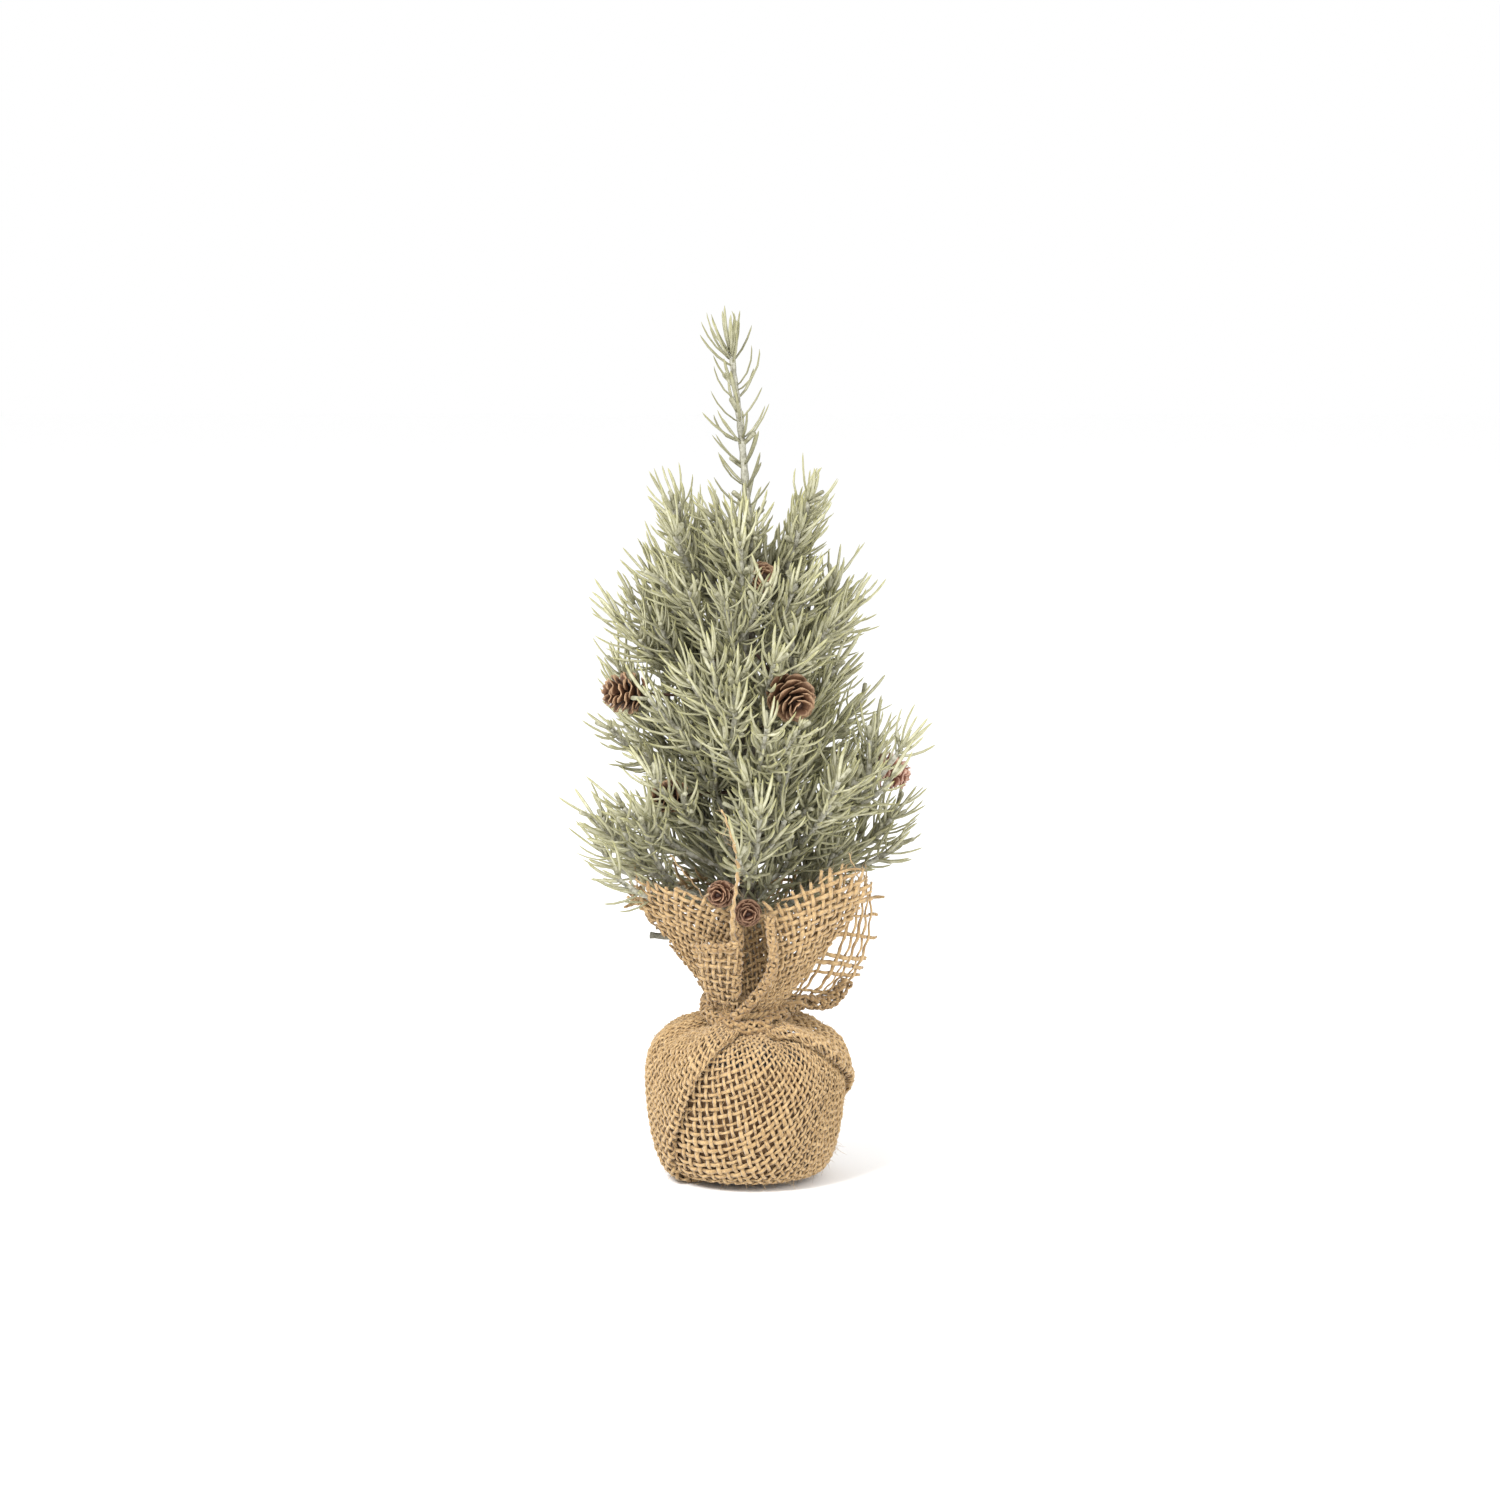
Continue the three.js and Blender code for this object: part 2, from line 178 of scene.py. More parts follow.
class Gathered:
    """Points, faces and values for each point, gathered for one object."""

    def __init__(self):
        self.points = []
        self.faces = {}
        self.values = {}
        self.count = 0

    def add(self, points, faces, **values):
        """Adds a grid of points with its faces. A value is given for the whole grid or a part
        of it that numpy can spread over the rest."""
        for group in faces:
            self.faces.setdefault(group.shape[1], []).append(group + self.count)
        for name, value in values.items():
            whole = np.broadcast_to(np.asarray(value, float), points.shape[:-1])
            self.values.setdefault(name, []).append(whole.ravel())
        self.points.append(points.reshape(-1, 3))
        self.count += len(self.points[-1])

    def build(self, name, material, body, slot, replaces=()):
        """The object, riding on its body and standing for its CAD nodes."""
        mesh = bpy.data.meshes.new(name)
        mesh.vertices.add(self.count)
        mesh.vertices.foreach_set("co", np.concatenate(self.points).astype(np.float32).ravel())
        groups = [np.concatenate(group) for group in self.faces.values()]
        sizes = np.concatenate([np.full(len(g), g.shape[1]) for g in groups])
        corners = np.concatenate([g.ravel() for g in groups]).astype(np.int32)
        mesh.loops.add(len(corners))
        mesh.loops.foreach_set("vertex_index", corners)
        mesh.polygons.add(len(sizes))
        mesh.polygons.foreach_set("loop_start", np.cumsum(sizes) - sizes)
        mesh.update(calc_edges=True)
        mesh.polygons.foreach_set("use_smooth", np.ones(len(sizes), bool))
        for value_name, parts in self.values.items():
            attribute = mesh.attributes.new(value_name, "FLOAT", "POINT")
            attribute.data.foreach_set("value", np.concatenate(parts).astype(np.float32))
        mesh.materials.append(material)
        piece = add_object(name, mesh)
        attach(piece, body)
        if replaces:
            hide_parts(*replaces)
        return piece


def unit(vectors):
    return vectors / np.maximum(np.linalg.norm(vectors, axis=-1, keepdims=True), 1e-12)


def tubes(centres, across, width, depth, sides):
    """Closed tubes of oval section: centres (n, k, 3), the direction of the width (n, k, 3),
    and half sizes (n, k). Gives the points and the faces."""
    n, k = centres.shape[:2]
    along = unit(np.gradient(centres, axis=1))
    across = unit(across - (across * along).sum(-1, keepdims=True) * along)
    other = np.cross(along, across)
    turn = np.arange(sides) * math.tau / sides
    points = (
        centres[:, :, None]
        + across[:, :, None] * (width[..., None] * np.cos(turn))[..., None]
        + other[:, :, None] * (depth[..., None] * np.sin(turn))[..., None]
    )
    return points, tube_faces(n, k, sides)


def tube_faces(n, k, sides):
    """The walls and the end caps of n tubes, each of k rings of points."""
    index = np.arange(n * k * sides).reshape(n, k, sides)
    a, b = index[:, :-1], index[:, 1:]
    walls = np.stack([a, np.roll(a, -1, 2), np.roll(b, -1, 2), b], -1).reshape(-1, 4)
    caps = np.concatenate([index[:, 0, ::-1], index[:, -1]])
    return [walls, caps]


def sideways(directions):
    """A unit vector across each direction, level where it can be."""
    level = np.cross(directions, UP)
    flat = np.linalg.norm(level, axis=-1, keepdims=True) < 0.05
    return unit(np.where(flat, np.cross(directions, (0.0, 1.0, 0.0)), level))


def bend(start, control, end, t):
    """A point of the bend from start to end, t being 0 to 1 along it."""
    return (1 - t) ** 2 * start + 2 * t * (1 - t) * control + t**2 * end


def bend_line(start, control, end, count=40):
    return bend(start, control, end, np.linspace(0, 1, count)[:, None])


def headings(line):
    """The direction of a line at each of its points."""
    return unit(np.gradient(line, axis=0))


def outwards(azimuth):
    """The level direction at an azimuth in radians."""
    return np.array((math.cos(azimuth), math.sin(azimuth), 0))


def lengths_along(line):
    steps = np.linalg.norm(np.diff(line, axis=0), axis=1)
    return np.concatenate([[0], np.cumsum(steps)])


def at(line, distances):
    """Points and directions of a line at distances along it."""
    run = lengths_along(line)
    way = headings(line)
    points = np.stack([np.interp(distances, run, line[:, i]) for i in range(3)], -1)
    directions = np.stack([np.interp(distances, run, way[:, i]) for i in range(3)], -1)
    return points, unit(directions)


# ---------------- materials


class Shader:
    """A procedural material, with short calls for the nodes that it is made of."""

    def __init__(self, name, **sockets):
        self.material = bpy.data.materials.new(name)
        self.material.use_nodes = True
        self.tree = self.material.node_tree
        self.surface = self.tree.nodes["Principled BSDF"]
        for key, value in sockets.items():
            self.set(self.surface.inputs[key.replace("_", " ")], value)
        self.place = self.node("TexCoord").outputs["Object"]

    def set(self, socket, value):
        """Links a socket to another node's output, or gives it a plain value."""
        if isinstance(value, bpy.types.NodeSocket):
            self.tree.links.new(value, socket)
        elif socket.type == "RGBA":
            socket.default_value = (*value, 1)
        else:
            socket.default_value = value

    def node(self, kind, inputs=None, **properties):
        made = self.tree.nodes.new("ShaderNode" + kind)
        for key, value in properties.items():
            setattr(made, key, value)
        for key, value in (inputs or {}).items():
            self.set(made.inputs[key], value)
        return made

    def value(self, name):
        """A value that the mesh holds for each of its points."""
        return self.node("Attribute", attribute_name=name).outputs["Fac"]

    def noise(self, scale, detail=2.0, roughness=0.5):
        inputs = {"Vector": self.place, "Scale": scale, "Detail": detail, "Roughness": roughness}
        return self.node("TexNoise", inputs).outputs["Fac"]

    def math(self, operation, a, b):
        return self.node("Math", {0: a, 1: b}, operation=operation).outputs[0]

    def spread(self, value, low, high, to_low=0.0, to_high=1.0):
        """The value's range from low to high, stretched to another range."""
        inputs = {0: value, 1: low, 2: high, 3: to_low, 4: to_high}
        return self.node("MapRange", inputs).outputs[0]

    def mix(self, share, first, second):
        made = self.node("Mix", {0: share}, data_type="RGBA")
        colours = [socket for socket in made.inputs if socket.type == "RGBA"]
        for socket, value in zip(colours, (first, second)):
            self.set(socket, value)
        return next(socket for socket in made.outputs if socket.type == "RGBA")

    def bump(self, height, strength, distance):
        inputs = {"Height": height, "Strength": strength, "Distance": distance}
        self.set(self.surface.inputs["Normal"], self.node("Bump", inputs).outputs[0])

    def finish(self, colour, roughness):
        self.set(self.surface.inputs["Base Color"], colour)
        self.set(self.surface.inputs["Roughness"], roughness)
        return self.material


def needle_material():
    """Moulded needles: dark olive where they leave the stem, a pale frosted bloom over most of
    their length, and yellow-green tips, darkened by painted shade where their shade value is low."""
    s = Shader("frosted needles", Specular_IOR_Level=0.35)
    along = s.value("along")
    shade = s.value("shade")
    colour = s.mix(s.spread(along, 0.0, 0.3), (0.18, 0.17, 0.095), (0.41, 0.395, 0.24))
    colour = s.mix(s.spread(along, 0.65, 1.0), colour, (0.35, 0.335, 0.13))
    frost = s.spread(s.noise(420, 3.0, 0.6), 0.35, 0.6)
    frost = s.math("MULTIPLY", frost, s.spread(along, 0.4, 1.0, 0.8, 0.3))
    frost = s.math("MULTIPLY", frost, s.spread(s.value("edge"), 0.55, 0.95, 1.0, 0.1))
    colour = s.mix(frost, colour, (0.64, 0.625, 0.47))
    edge = s.spread(s.value("edge"), 0.6, 1.0, 0.0, 0.55)
    colour = s.mix(edge, colour, (0.21, 0.205, 0.085))
    # Painted shade: a low shade value darkens the needle.
    colour = s.mix(s.spread(shade, 0.0, 1.0, 0.72, 0.0), colour, (0.105, 0.1, 0.054))
    s.bump(s.noise(2600, 2.0), 0.25, 0.1 * MM)
    return s.finish(colour, s.spread(s.noise(900), 0.3, 0.7, 0.5, 0.75))


def stem_material():
    """Grey-green moulded stems, dusted with frost, with painted shade from their sprig's shade value.
    """
    s = Shader("frosted stems", Specular_IOR_Level=0.3)
    shade = s.value("shade")
    frost = s.spread(s.noise(520, 4.0, 0.65), 0.35, 0.6)
    colour = s.mix(frost, (0.17, 0.16, 0.115), (0.47, 0.46, 0.38))
    # Painted shade: a low shade value darkens the stem.
    colour = s.mix(s.spread(shade, 0.0, 1.0, 0.7, 0.0), colour, (0.085, 0.08, 0.06))
    s.bump(s.noise(1400, 4.0, 0.7), 0.7, 0.35 * MM)
    return s.finish(colour, 0.75)


def bark_material():
    """The trunk's sleeve: grey-brown, ribbed, with frost on its high places."""
    s = Shader("trunk bark", Specular_IOR_Level=0.25)
    frost = s.spread(s.noise(380, 5.0, 0.7), 0.42, 0.66)
    colour = s.mix(frost, (0.085, 0.066, 0.048), (0.27, 0.26, 0.21))
    s.bump(s.noise(900, 5.0, 0.7), 0.9, 0.5 * MM)
    return s.finish(colour, 0.85)


def burlap_material():
    """Natural jute: twisted tan fibres, each yarn a little lighter or darker than the next, with
    painted shade where a yarn dips under the crossing yarns and in the folds at the neck.
    """
    s = Shader("natural jute", Specular_IOR_Level=0.15, Sheen_Weight=0.35, Sheen_Roughness=0.5)
    twist = s.value("twist")
    fibre = s.noise(3200, 3.0, 0.7)
    blotch = s.noise(210, 3.0, 0.6)
    tone = s.math("ADD", s.spread(fibre, 0.3, 0.7, -0.5, 0.5), s.math("MULTIPLY", twist, 0.3))
    colour = s.mix(s.spread(tone, -0.7, 0.7), (0.202, 0.112, 0.042), (0.667, 0.47, 0.235))
    colour = s.mix(s.spread(blotch, 0.35, 0.7, 0.0, 0.45), colour, (0.343, 0.21, 0.085))
    colour = s.mix(s.spread(s.value("tint"), 0.0, 1.0, 0.0, 0.3), colour, (0.667, 0.49, 0.268))
    flecks = s.spread(s.noise(1100, 2.0, 0.6), 0.58, 0.68, 0.0, 0.55)
    colour = s.mix(flecks, colour, (0.202, 0.105, 0.042))
    # Painted shade: a yarn darkens where it dips under the crossing yarns and round the neck.
    colour = s.mix(s.spread(s.value("over"), -1.0, 0.4, 0.6, 0.0), colour, (0.202, 0.11, 0.042))
    s.bump(s.math("ADD", fibre, s.math("MULTIPLY", twist, 0.5)), 0.8, 0.16 * MM)
    return s.finish(colour, 0.9)


def pot_material():
    """The pot that shows darkly through the holes of the weave."""
    s = Shader("pot", Specular_IOR_Level=0.2)
    grain = s.noise(300, 4.0, 0.6)
    colour = s.mix(s.spread(grain, 0.35, 0.65), (0.11, 0.062, 0.03), (0.18, 0.105, 0.052))
    s.bump(grain, 0.2, 0.2 * MM)
    return s.finish(colour, 0.8)


def cement_material():
    """The cast weight inside the pot."""
    s = Shader("cast cement", Specular_IOR_Level=0.2)
    grain = s.noise(700, 6.0, 0.65)
    colour = s.mix(s.spread(grain, 0.35, 0.7), (0.22, 0.2, 0.18), (0.46, 0.44, 0.4))
    s.bump(grain, 0.7, 0.5 * MM)
    return s.finish(colour, 0.9)


def wire_material():
    """Drawn steel wire."""
    s = Shader("steel wire", Metallic=1.0)
    grain = s.noise(900, 3.0)
    colour = s.mix(grain, (0.4, 0.4, 0.41), (0.6, 0.6, 0.61))
    return s.finish(colour, s.spread(grain, 0.3, 0.7, 0.25, 0.45))


def cone_material(name, deep, face, rim):
    """Dry cone scales: dark inside, brown on their faces, with a pale worn rim."""
    s = Shader(name, Specular_IOR_Level=0.3)
    edge = s.value("rim")
    grain = s.noise(1500, 4.0, 0.6)
    colour = s.mix(s.spread(s.value("along"), 0.15, 0.75), deep, face)
    wear = s.math("ADD", edge, s.spread(grain, 0.3, 0.7, -0.25, 0.25))
    colour = s.mix(s.spread(wear, 0.35, 0.95), colour, rim)
    colour = s.mix(s.spread(s.value("tint"), 0.0, 1.0, 0.0, 0.35), colour, deep)
    s.bump(grain, 0.5, 0.2 * MM)
    return s.finish(colour, s.spread(grain, 0.3, 0.7, 0.45, 0.7))


BROWN_TONES = ((0.04, 0.02, 0.012), (0.17, 0.085, 0.045), (0.45, 0.29, 0.17))
RED_TONES = ((0.03, 0.012, 0.008), (0.085, 0.034, 0.017), (0.36, 0.21, 0.125))
PINK_TONES = ((0.12, 0.05, 0.035), (0.4, 0.2, 0.14), (0.6, 0.4, 0.31))


# ---------------- needles and stems


def add_needles(mesh, base, axis, outward, size, rng, opening=(60, 10), shade=1.0):
    """Curved needles, each leaving its stem at the first opening angle and swinging round to the
    second. base, axis and outward are (n, 3) and size holds the needles' lengths."""
    n, run = len(base), NEEDLE_RUN
    start = np.radians(opening[0] + rng.normal(0, 9, n))[:, None]
    end = np.radians(opening[1] + rng.normal(0, 9, n))[:, None]
    angle = start + (end - start) * run**0.8
    middle = (angle[:, 1:] + angle[:, :-1]) / 2
    step = np.zeros((n, len(run), 2))
    step[:, 1:, 0] = np.sin(middle) * np.diff(run)
    step[:, 1:, 1] = np.cos(middle) * np.diff(run)
    path = np.cumsum(step, axis=1) * size[:, None, None]
    flat = np.cross(axis, outward)
    lean = (rng.normal(0, 0.08, n) * size)[:, None] * run**2
    centres = (
        base[:, None]
        + path[..., :1] * outward[:, None]
        + path[..., 1:] * axis[:, None]
        + lean[..., None] * flat[:, None]
    )
    # A needle whose tip would stand through the collar is squashed short inside it.
    tip = centres[:, -1]
    collar = np.interp(tip[:, 2], *COLLAR_OUTLINE)
    away = np.hypot(tip[:, 0], tip[:, 1]) - collar
    near_collar = (away > -COLLAR_INSIDE) & (away < COLLAR_OUTSIDE)
    pressed = (tip[:, 2] < COLLAR_OUTLINE[0][-1]) & near_collar
    # So is one that would hang in front of the collar's left corner, which lies open to view.
    aside = np.abs(tip[:, 0] - OPEN_CORNER[0]) < CORNER_ROOM
    pressed |= aside & (tip[:, 1] < -4 * MM) & (tip[:, 2] < OPEN_CORNER[1])
    # So is one that would stand in a cone or in front of it.
    for place in CONE_PLACES:
        for share in (2, 3, -1):
            pressed |= np.linalg.norm(centres[:, share] - place, axis=1) < CONE_ROOM
    kept = np.where(pressed, PRESSED, 1.0)[:, None, None]
    centres = base[:, None] + (centres - base[:, None]) * kept
    half = NEEDLE_WIDTH * rng.uniform(0.8, 1.2, n)[:, None] / 2 * NEEDLE_OUTLINE
    twist = rng.normal(0, 0.35, n)[:, None, None]
    across = flat[:, None] + twist * outward[:, None] + 0 * centres
    side = np.abs(np.cos(np.arange(NEEDLE_SIDES) * math.tau / NEEDLE_SIDES))
    # Painted shade: needles near the trunk and low on the tree are darkened, the more so the deeper
    # inside the tree's outline their tips lie.
    depth = np.hypot(tip[:, 0], tip[:, 1]) / np.interp(tip[:, 2], *TREE_OUTLINE)
    painted_light = np.interp(depth, (0.2, 0.8), (0.15, 1.0)) * np.interp(tip[:, 2], (0.1, 0.15), (0.7, 1))
    tone = np.clip(shade * painted_light + rng.normal(0, 0.12, n), 0, 1)[:, None, None]
    needles = tubes(centres, across, half, 0.6 * half, NEEDLE_SIDES)
    mesh.add(*needles, along=run[:, None], shade=tone, edge=side)


def whorls(line, first, last, gap, count, rng):
    """Where the needles of a sprig leave it: bases, stem directions and outward directions."""
    distances = np.arange(first, last, gap)
    if not len(distances):
        return None
    distances = np.repeat(distances, count) + rng.normal(0, 0.16 * gap, len(distances) * count)
    points, axis = at(line, np.clip(distances, 0, lengths_along(line)[-1]))
    turn = np.tile(np.arange(count) * math.tau / count, len(points) // count)
    turn = turn + np.repeat(np.arange(len(points) // count), count) * 0.62 * math.pi / count
    turn = turn + rng.normal(0, 0.22, len(turn)) + rng.uniform(*ANY_PHASE)
    level = sideways(axis)
    upright = np.cross(level, axis)
    outward = level * np.cos(turn)[:, None] + upright * np.sin(turn)[:, None]
    return points, axis, outward


def add_pegs(mesh, line, distances, rng, shade, radius=PEG_RADIUS):
    """Blunt moulded stubs, where the needles of a real plant would have been cut."""
    points, axis = at(line, np.asarray(distances, float))
    level = sideways(axis)
    turn = rng.uniform(*ANY_PHASE, len(points))[:, None]
    outward = level * np.cos(turn) + np.cross(level, axis) * np.sin(turn)
    lean = np.radians(rng.uniform(25, 50, len(points)))[:, None]
    way = axis * np.cos(lean) + outward * np.sin(lean)
    s = np.array((0.0, 0.3, 0.9, 1.0))
    centres = points[:, None] + way[:, None] * (s * PEG_LENGTH)[None, :, None]
    half = np.array((0.6, 0.8, 1.0, 0.7))[None] * radius + np.zeros((len(points), 1))
    pegs = tubes(centres, level[:, None] + 0 * centres, half, 0.8 * half, NEEDLE_SIDES)
    mesh.add(*pegs, along=0.0, shade=0.6 * shade, edge=0.5)


def add_sprig(needles, stems, line, rng, radius=(1.1, 0.85), bare=0.1, shade=1.0, size=1.0):
    """One sprig: a stem along line, whorls of needles up it and a closed tuft at its end."""
    length = lengths_along(line)[-1]
    add_stem(stems, line, radius, shade)
    first, last = bare * length + 1.5 * MM, length - 1.2 * MM
    found = whorls(line, first, last, WHORL_GAP, WHORL_NEEDLES, rng)
    if found:
        lengths = NEEDLE_LENGTH * size * rng.uniform(0.65, 1.12, len(found[0]))
        add_needles(needles, *found, lengths, rng, shade=shade)
    tuft = whorls(line, length - 0.9 * MM, length, 1.0, WHORL_NEEDLES, rng)
    lengths = NEEDLE_LENGTH * size * rng.uniform(0.8, 1.1, len(tuft[0]))
    add_needles(needles, *tuft, lengths, rng, opening=(38, 4), shade=shade)
    add_pegs(needles, line, [length - 0.5 * MM, rng.uniform(0.4, 0.8) * length], rng, shade)


def add_stem(stems, line, radius, shade):
    """A round stem that narrows from radius[0] to radius[1] mm, with a swelling at each whorl."""
    length = lengths_along(line)[-1]
    count = max(6, int(length / (1.4 * MM)))
    run = np.linspace(0, length, count)
    centres = at(line, run)[0]
    knots = 1 + 0.10 * np.cos(math.tau * run / WHORL_GAP)
    half = np.interp(run / length, (0, 1), radius) * MM * knots
    across = sideways(headings(centres))
    stems.add(*tubes(centres[None], across[None], half[None], half[None], STEM_SIDES), shade=shade)


def branch_line(name):
    """A branch's centre line from its joint on the trunk to the end of its main sprig, with the
    bend that the CAD gives it, and the side that its CAD side sprig grows on."""
    joint = next(j for j in frame["joints"] if j["child"] == name)
    pivot = np.array(joint["pos_m"])
    out = unit(np.array((-joint["axis"][1], joint["axis"][0], 0.0)))
    tip_points = corner_points(name + "_tip_sprig") - pivot
    farthest = tip_points[np.argmax(np.linalg.norm(tip_points, axis=1))]
    reach, rise = farthest @ out, farthest[2]
    for _ in range(6):
        way = unit(np.array(((1 - CURVE_SHARE) * reach, (1 - RISE_SHARE) * rise)))
        reach = farthest @ out - END_NEEDLE * way[0]
        rise = farthest[2] - END_NEEDLE * way[1]
    control = pivot + out * CURVE_SHARE * reach + UP * RISE_SHARE * rise
    end = pivot + out * reach + UP * rise
    side = corner_points(name + "_side_sprig").mean(0) - pivot
    return bend_line(pivot, control, end), math.copysign(1, np.cross(out, side)[2])


def corner_points(node):
    mesh = frame["nodes"][node].data
    points = np.zeros(len(mesh.vertices) * 3, np.float32)
    mesh.vertices.foreach_get("co", points)
    return points.reshape(-1, 3).astype(float)


def side_line(line, share, roll, length, lift, fork):
    """A side sprig's line: it leaves the branch at a share of its length, forks off by an angle,
    turned by roll round the branch, and swings upwards."""
    start, way = at(line, np.array([share * lengths_along(line)[-1]]))
    start, way = start[0], way[0]
    level = sideways(way[None])[0]
    out = level * math.cos(roll) + np.cross(level, way) * math.sin(roll)
    heading = unit(way * math.cos(fork) + out * math.sin(fork))
    control = start + heading * 0.5 * length
    end = control + unit(heading + lift * UP) * 0.5 * length
    return bend_line(start, control, end, 16)


def build_branch(name, rng, shade):
    """One wired branch: its stem, its main sprig and the side sprigs that fork off it."""
    line, side = branch_line(name)
    needles, stems = Gathered(), Gathered()
    length = lengths_along(line)[-1]
    add_sprig(needles, stems, line, rng, radius=(1.35, 0.85), bare=0.34, shade=shade)
    for i, share in enumerate(SIDE_STARTS if length > 52 * MM else SIDE_STARTS[1::2]):
        roll = (0 if (i % 2 == 0) == (side < 0) else math.pi) + rng.normal(0, 0.6)
        reach = max(14 * MM, (1 - share) * length * rng.uniform(0.75, 0.95))
        fork = math.radians(rng.uniform(32, 50))
        twig = side_line(line, share, roll, reach, 0.9, fork)
        add_sprig(needles, stems, twig, rng, shade=shade * rng.uniform(0.75, 1.0))
    names = [name + end for end in ("_stem", "_tip_sprig", "_side_sprig")]
    stems.build(name + "_twigs", STEM, name, "stem", names[:1])
    needles.build(name + "_needles", NEEDLES, name, "needles", names[1:])


def build_leader(rng):
    """The upright shoot at the top: open whorls, blunt pegs and a closed tuft."""
    points = corner_points("top_shoot")
    tip = points[np.argmax(points[:, 2])]
    foot = np.array((0.0, 0.0, points[:, 2].min()))
    rise = tip[2] - foot[2]
    end = np.array((tip[0] + 1.0 * MM, 0, tip[2] - 15 * MM))
    line = bend_line(foot, foot + np.array((-1.5 * MM, 0, 0.4 * rise)), end)
    needles, stems = Gathered(), Gathered()
    length = lengths_along(line)[-1]
    add_stem(stems, line, (1.5, 0.9), 0.8)
    for low, high, opening in LEADER_WHORLS:
        last = min(high * MM, length - 4 * MM)
        found = whorls(line, low * MM, last, LEADER_GAP, 4, rng)
        sizes = NEEDLE_LENGTH * rng.uniform(0.8, 1.25, len(found[0]))
        add_needles(needles, *found, sizes, rng, opening=opening, shade=LEADER_SHADE)
    tuft = whorls(line, length - 3 * MM, length, 1.5 * MM, 5, rng)
    sizes = NEEDLE_LENGTH * rng.uniform(0.85, 1.15, len(tuft[0]))
    add_needles(needles, *tuft, sizes, rng, opening=(44, 4), shade=LEADER_SHADE)
    add_pegs(needles, line, LEADER_PEGS, rng, 0.6, 1.35 * MM)
    stems.build("leader_stem", STEM, "top_shoot", "stem", ["top_shoot"])
    needles.build("leader_needles", NEEDLES, "top_shoot", "needles")


def build_trunk_sprigs(rng):
    """Short sprigs straight off the trunk, which fill the heart of the tree."""
    needles, stems = Gathered(), Gathered()
    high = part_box("trunk_sleeve")[1]
    heights = np.arange(HEART_FOOT, high.z - HEART_TOP_GAP, HEART_STEP)
    for i, height in enumerate(heights):
        turn = i * GOLDEN_ANGLE + rng.normal(0, 0.2)
        out = outwards(turn)
        start = out * 2.5 * MM + UP * height
        rise = math.radians(rng.uniform(25, 50))
        reach = np.interp(height, *HEART_REACH) * MM
        reach *= rng.uniform(0.7, 1.15)
        if height < 0.116 and out[1] < -0.6:
            # Room for the cones that sit in the front of the collar.
            reach *= 0.5
        heading = out * math.cos(rise) + UP * math.sin(rise)
        end = start + heading * reach + UP * 0.25 * reach
        line = bend_line(start, start + heading * reach / 2, end, 16)
        # Painted shade for the heart of the tree, by a random amount for each sprig.
        shade = rng.uniform(0.55, 1.0)
        add_sprig(needles, stems, line, rng, radius=(0.95, 0.7), shade=shade)
        for side in range(int(reach / (16 * MM))):
            share = rng.uniform(0.3, 0.6)
            twig = side_line(line, share, side * math.pi, reach * 0.5, 0.9, math.radians(40))
            add_sprig(needles, stems, twig, rng, radius=(0.85, 0.7), shade=shade)
    for azimuth, height, reach, climb in LONG_SPRIGS:
        way = outwards(math.radians(azimuth))
        start = UP * height * MM
        end = start + (way + UP * climb) * reach * MM
        control = start + way * 0.6 * reach * MM + UP * 0.3 * climb * reach * MM
        line = bend_line(start, control, end, 20)
        add_sprig(needles, stems, line, rng, bare=0.45, size=1.08)
        for side in (0, 1):
            twig = side_line(line, 0.4 + 0.2 * side, side * math.pi, 0.35 * reach * MM, 0.9, 0.7)
            add_sprig(needles, stems, twig, rng)
    add_stem(stems, bend_line(*STRAY_TWIG, 8), (0.9, 1.2), 0.1)
    stems.build("heart_twigs", STEM, "base", "stem")
    needles.build("heart_needles", NEEDLES, "base", "needles")


def build_trunk():
    """The ribbed plastic sleeve round the trunk wire."""
    low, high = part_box("trunk_sleeve")
    radius = (high.x - low.x) / 2
    heights = np.linspace(low.z, high.z, 150)
    turn = np.arange(20) * math.tau / 20
    rings = 0.08 * np.sin(heights[:, None] * 900) + 0.06 * np.sin(5 * turn + heights[:, None] * 260)
    taper = np.interp(heights, (high.z - 0.06, high.z), (1, 0.55))[:, None]
    half = radius * (0.86 + rings) * taper
    half[-1] *= 0.35
    points = np.stack([half * np.cos(turn), half * np.sin(turn), heights[:, None] + 0 * half], -1)
    trunk = Gathered()
    trunk.add(points, tube_faces(1, *half.shape))
    trunk.build("trunk_bark", BARK, "base", "bark", ["trunk_sleeve"])


# ---------------- cones


def cone_place(node):
    """Where a cone's stalk starts, its direction, where its scales start and end along it, and
    how wide it is."""
    points = corner_points(node)
    radial = np.linalg.norm(points[:, :2], axis=1)
    start = points[radial < radial.min() + 1 * MM].mean(0)
    tip = points[radial > radial.max() - 0.3 * MM].mean(0)
    way = unit(tip - start)
    run = (points - start) @ way
    off = np.linalg.norm(points - start - run[:, None] * way, axis=1)
    return start, way, run[off > 1.5 * MM].min(), run.max(), off.max()


def open_end(node):
    """The middle of a cone's outer half."""
    start, way, low, high, _ = cone_place(node)
    return start + way * (low + 0.75 * (high - low))


def scale_faces(rows, columns):
    """The faces of a closed scale: an upper and a lower grid, joined round the edge."""
    index = np.arange(rows * columns).reshape(rows, columns)
    upper = np.stack([index[:-1, :-1], index[:-1, 1:], index[1:, 1:], index[1:, :-1]], -1)
    upper = upper.reshape(-1, 4)
    lower = upper[:, ::-1] + rows * columns
    edge = np.concatenate([index[0, :-1], index[:-1, -1], index[-1, :0:-1], index[:0:-1, 0]])
    after = np.roll(edge, -1)
    rim = np.stack([edge, edge + rows * columns, after + rows * columns, after], -1)
    return np.concatenate([upper, lower, rim])


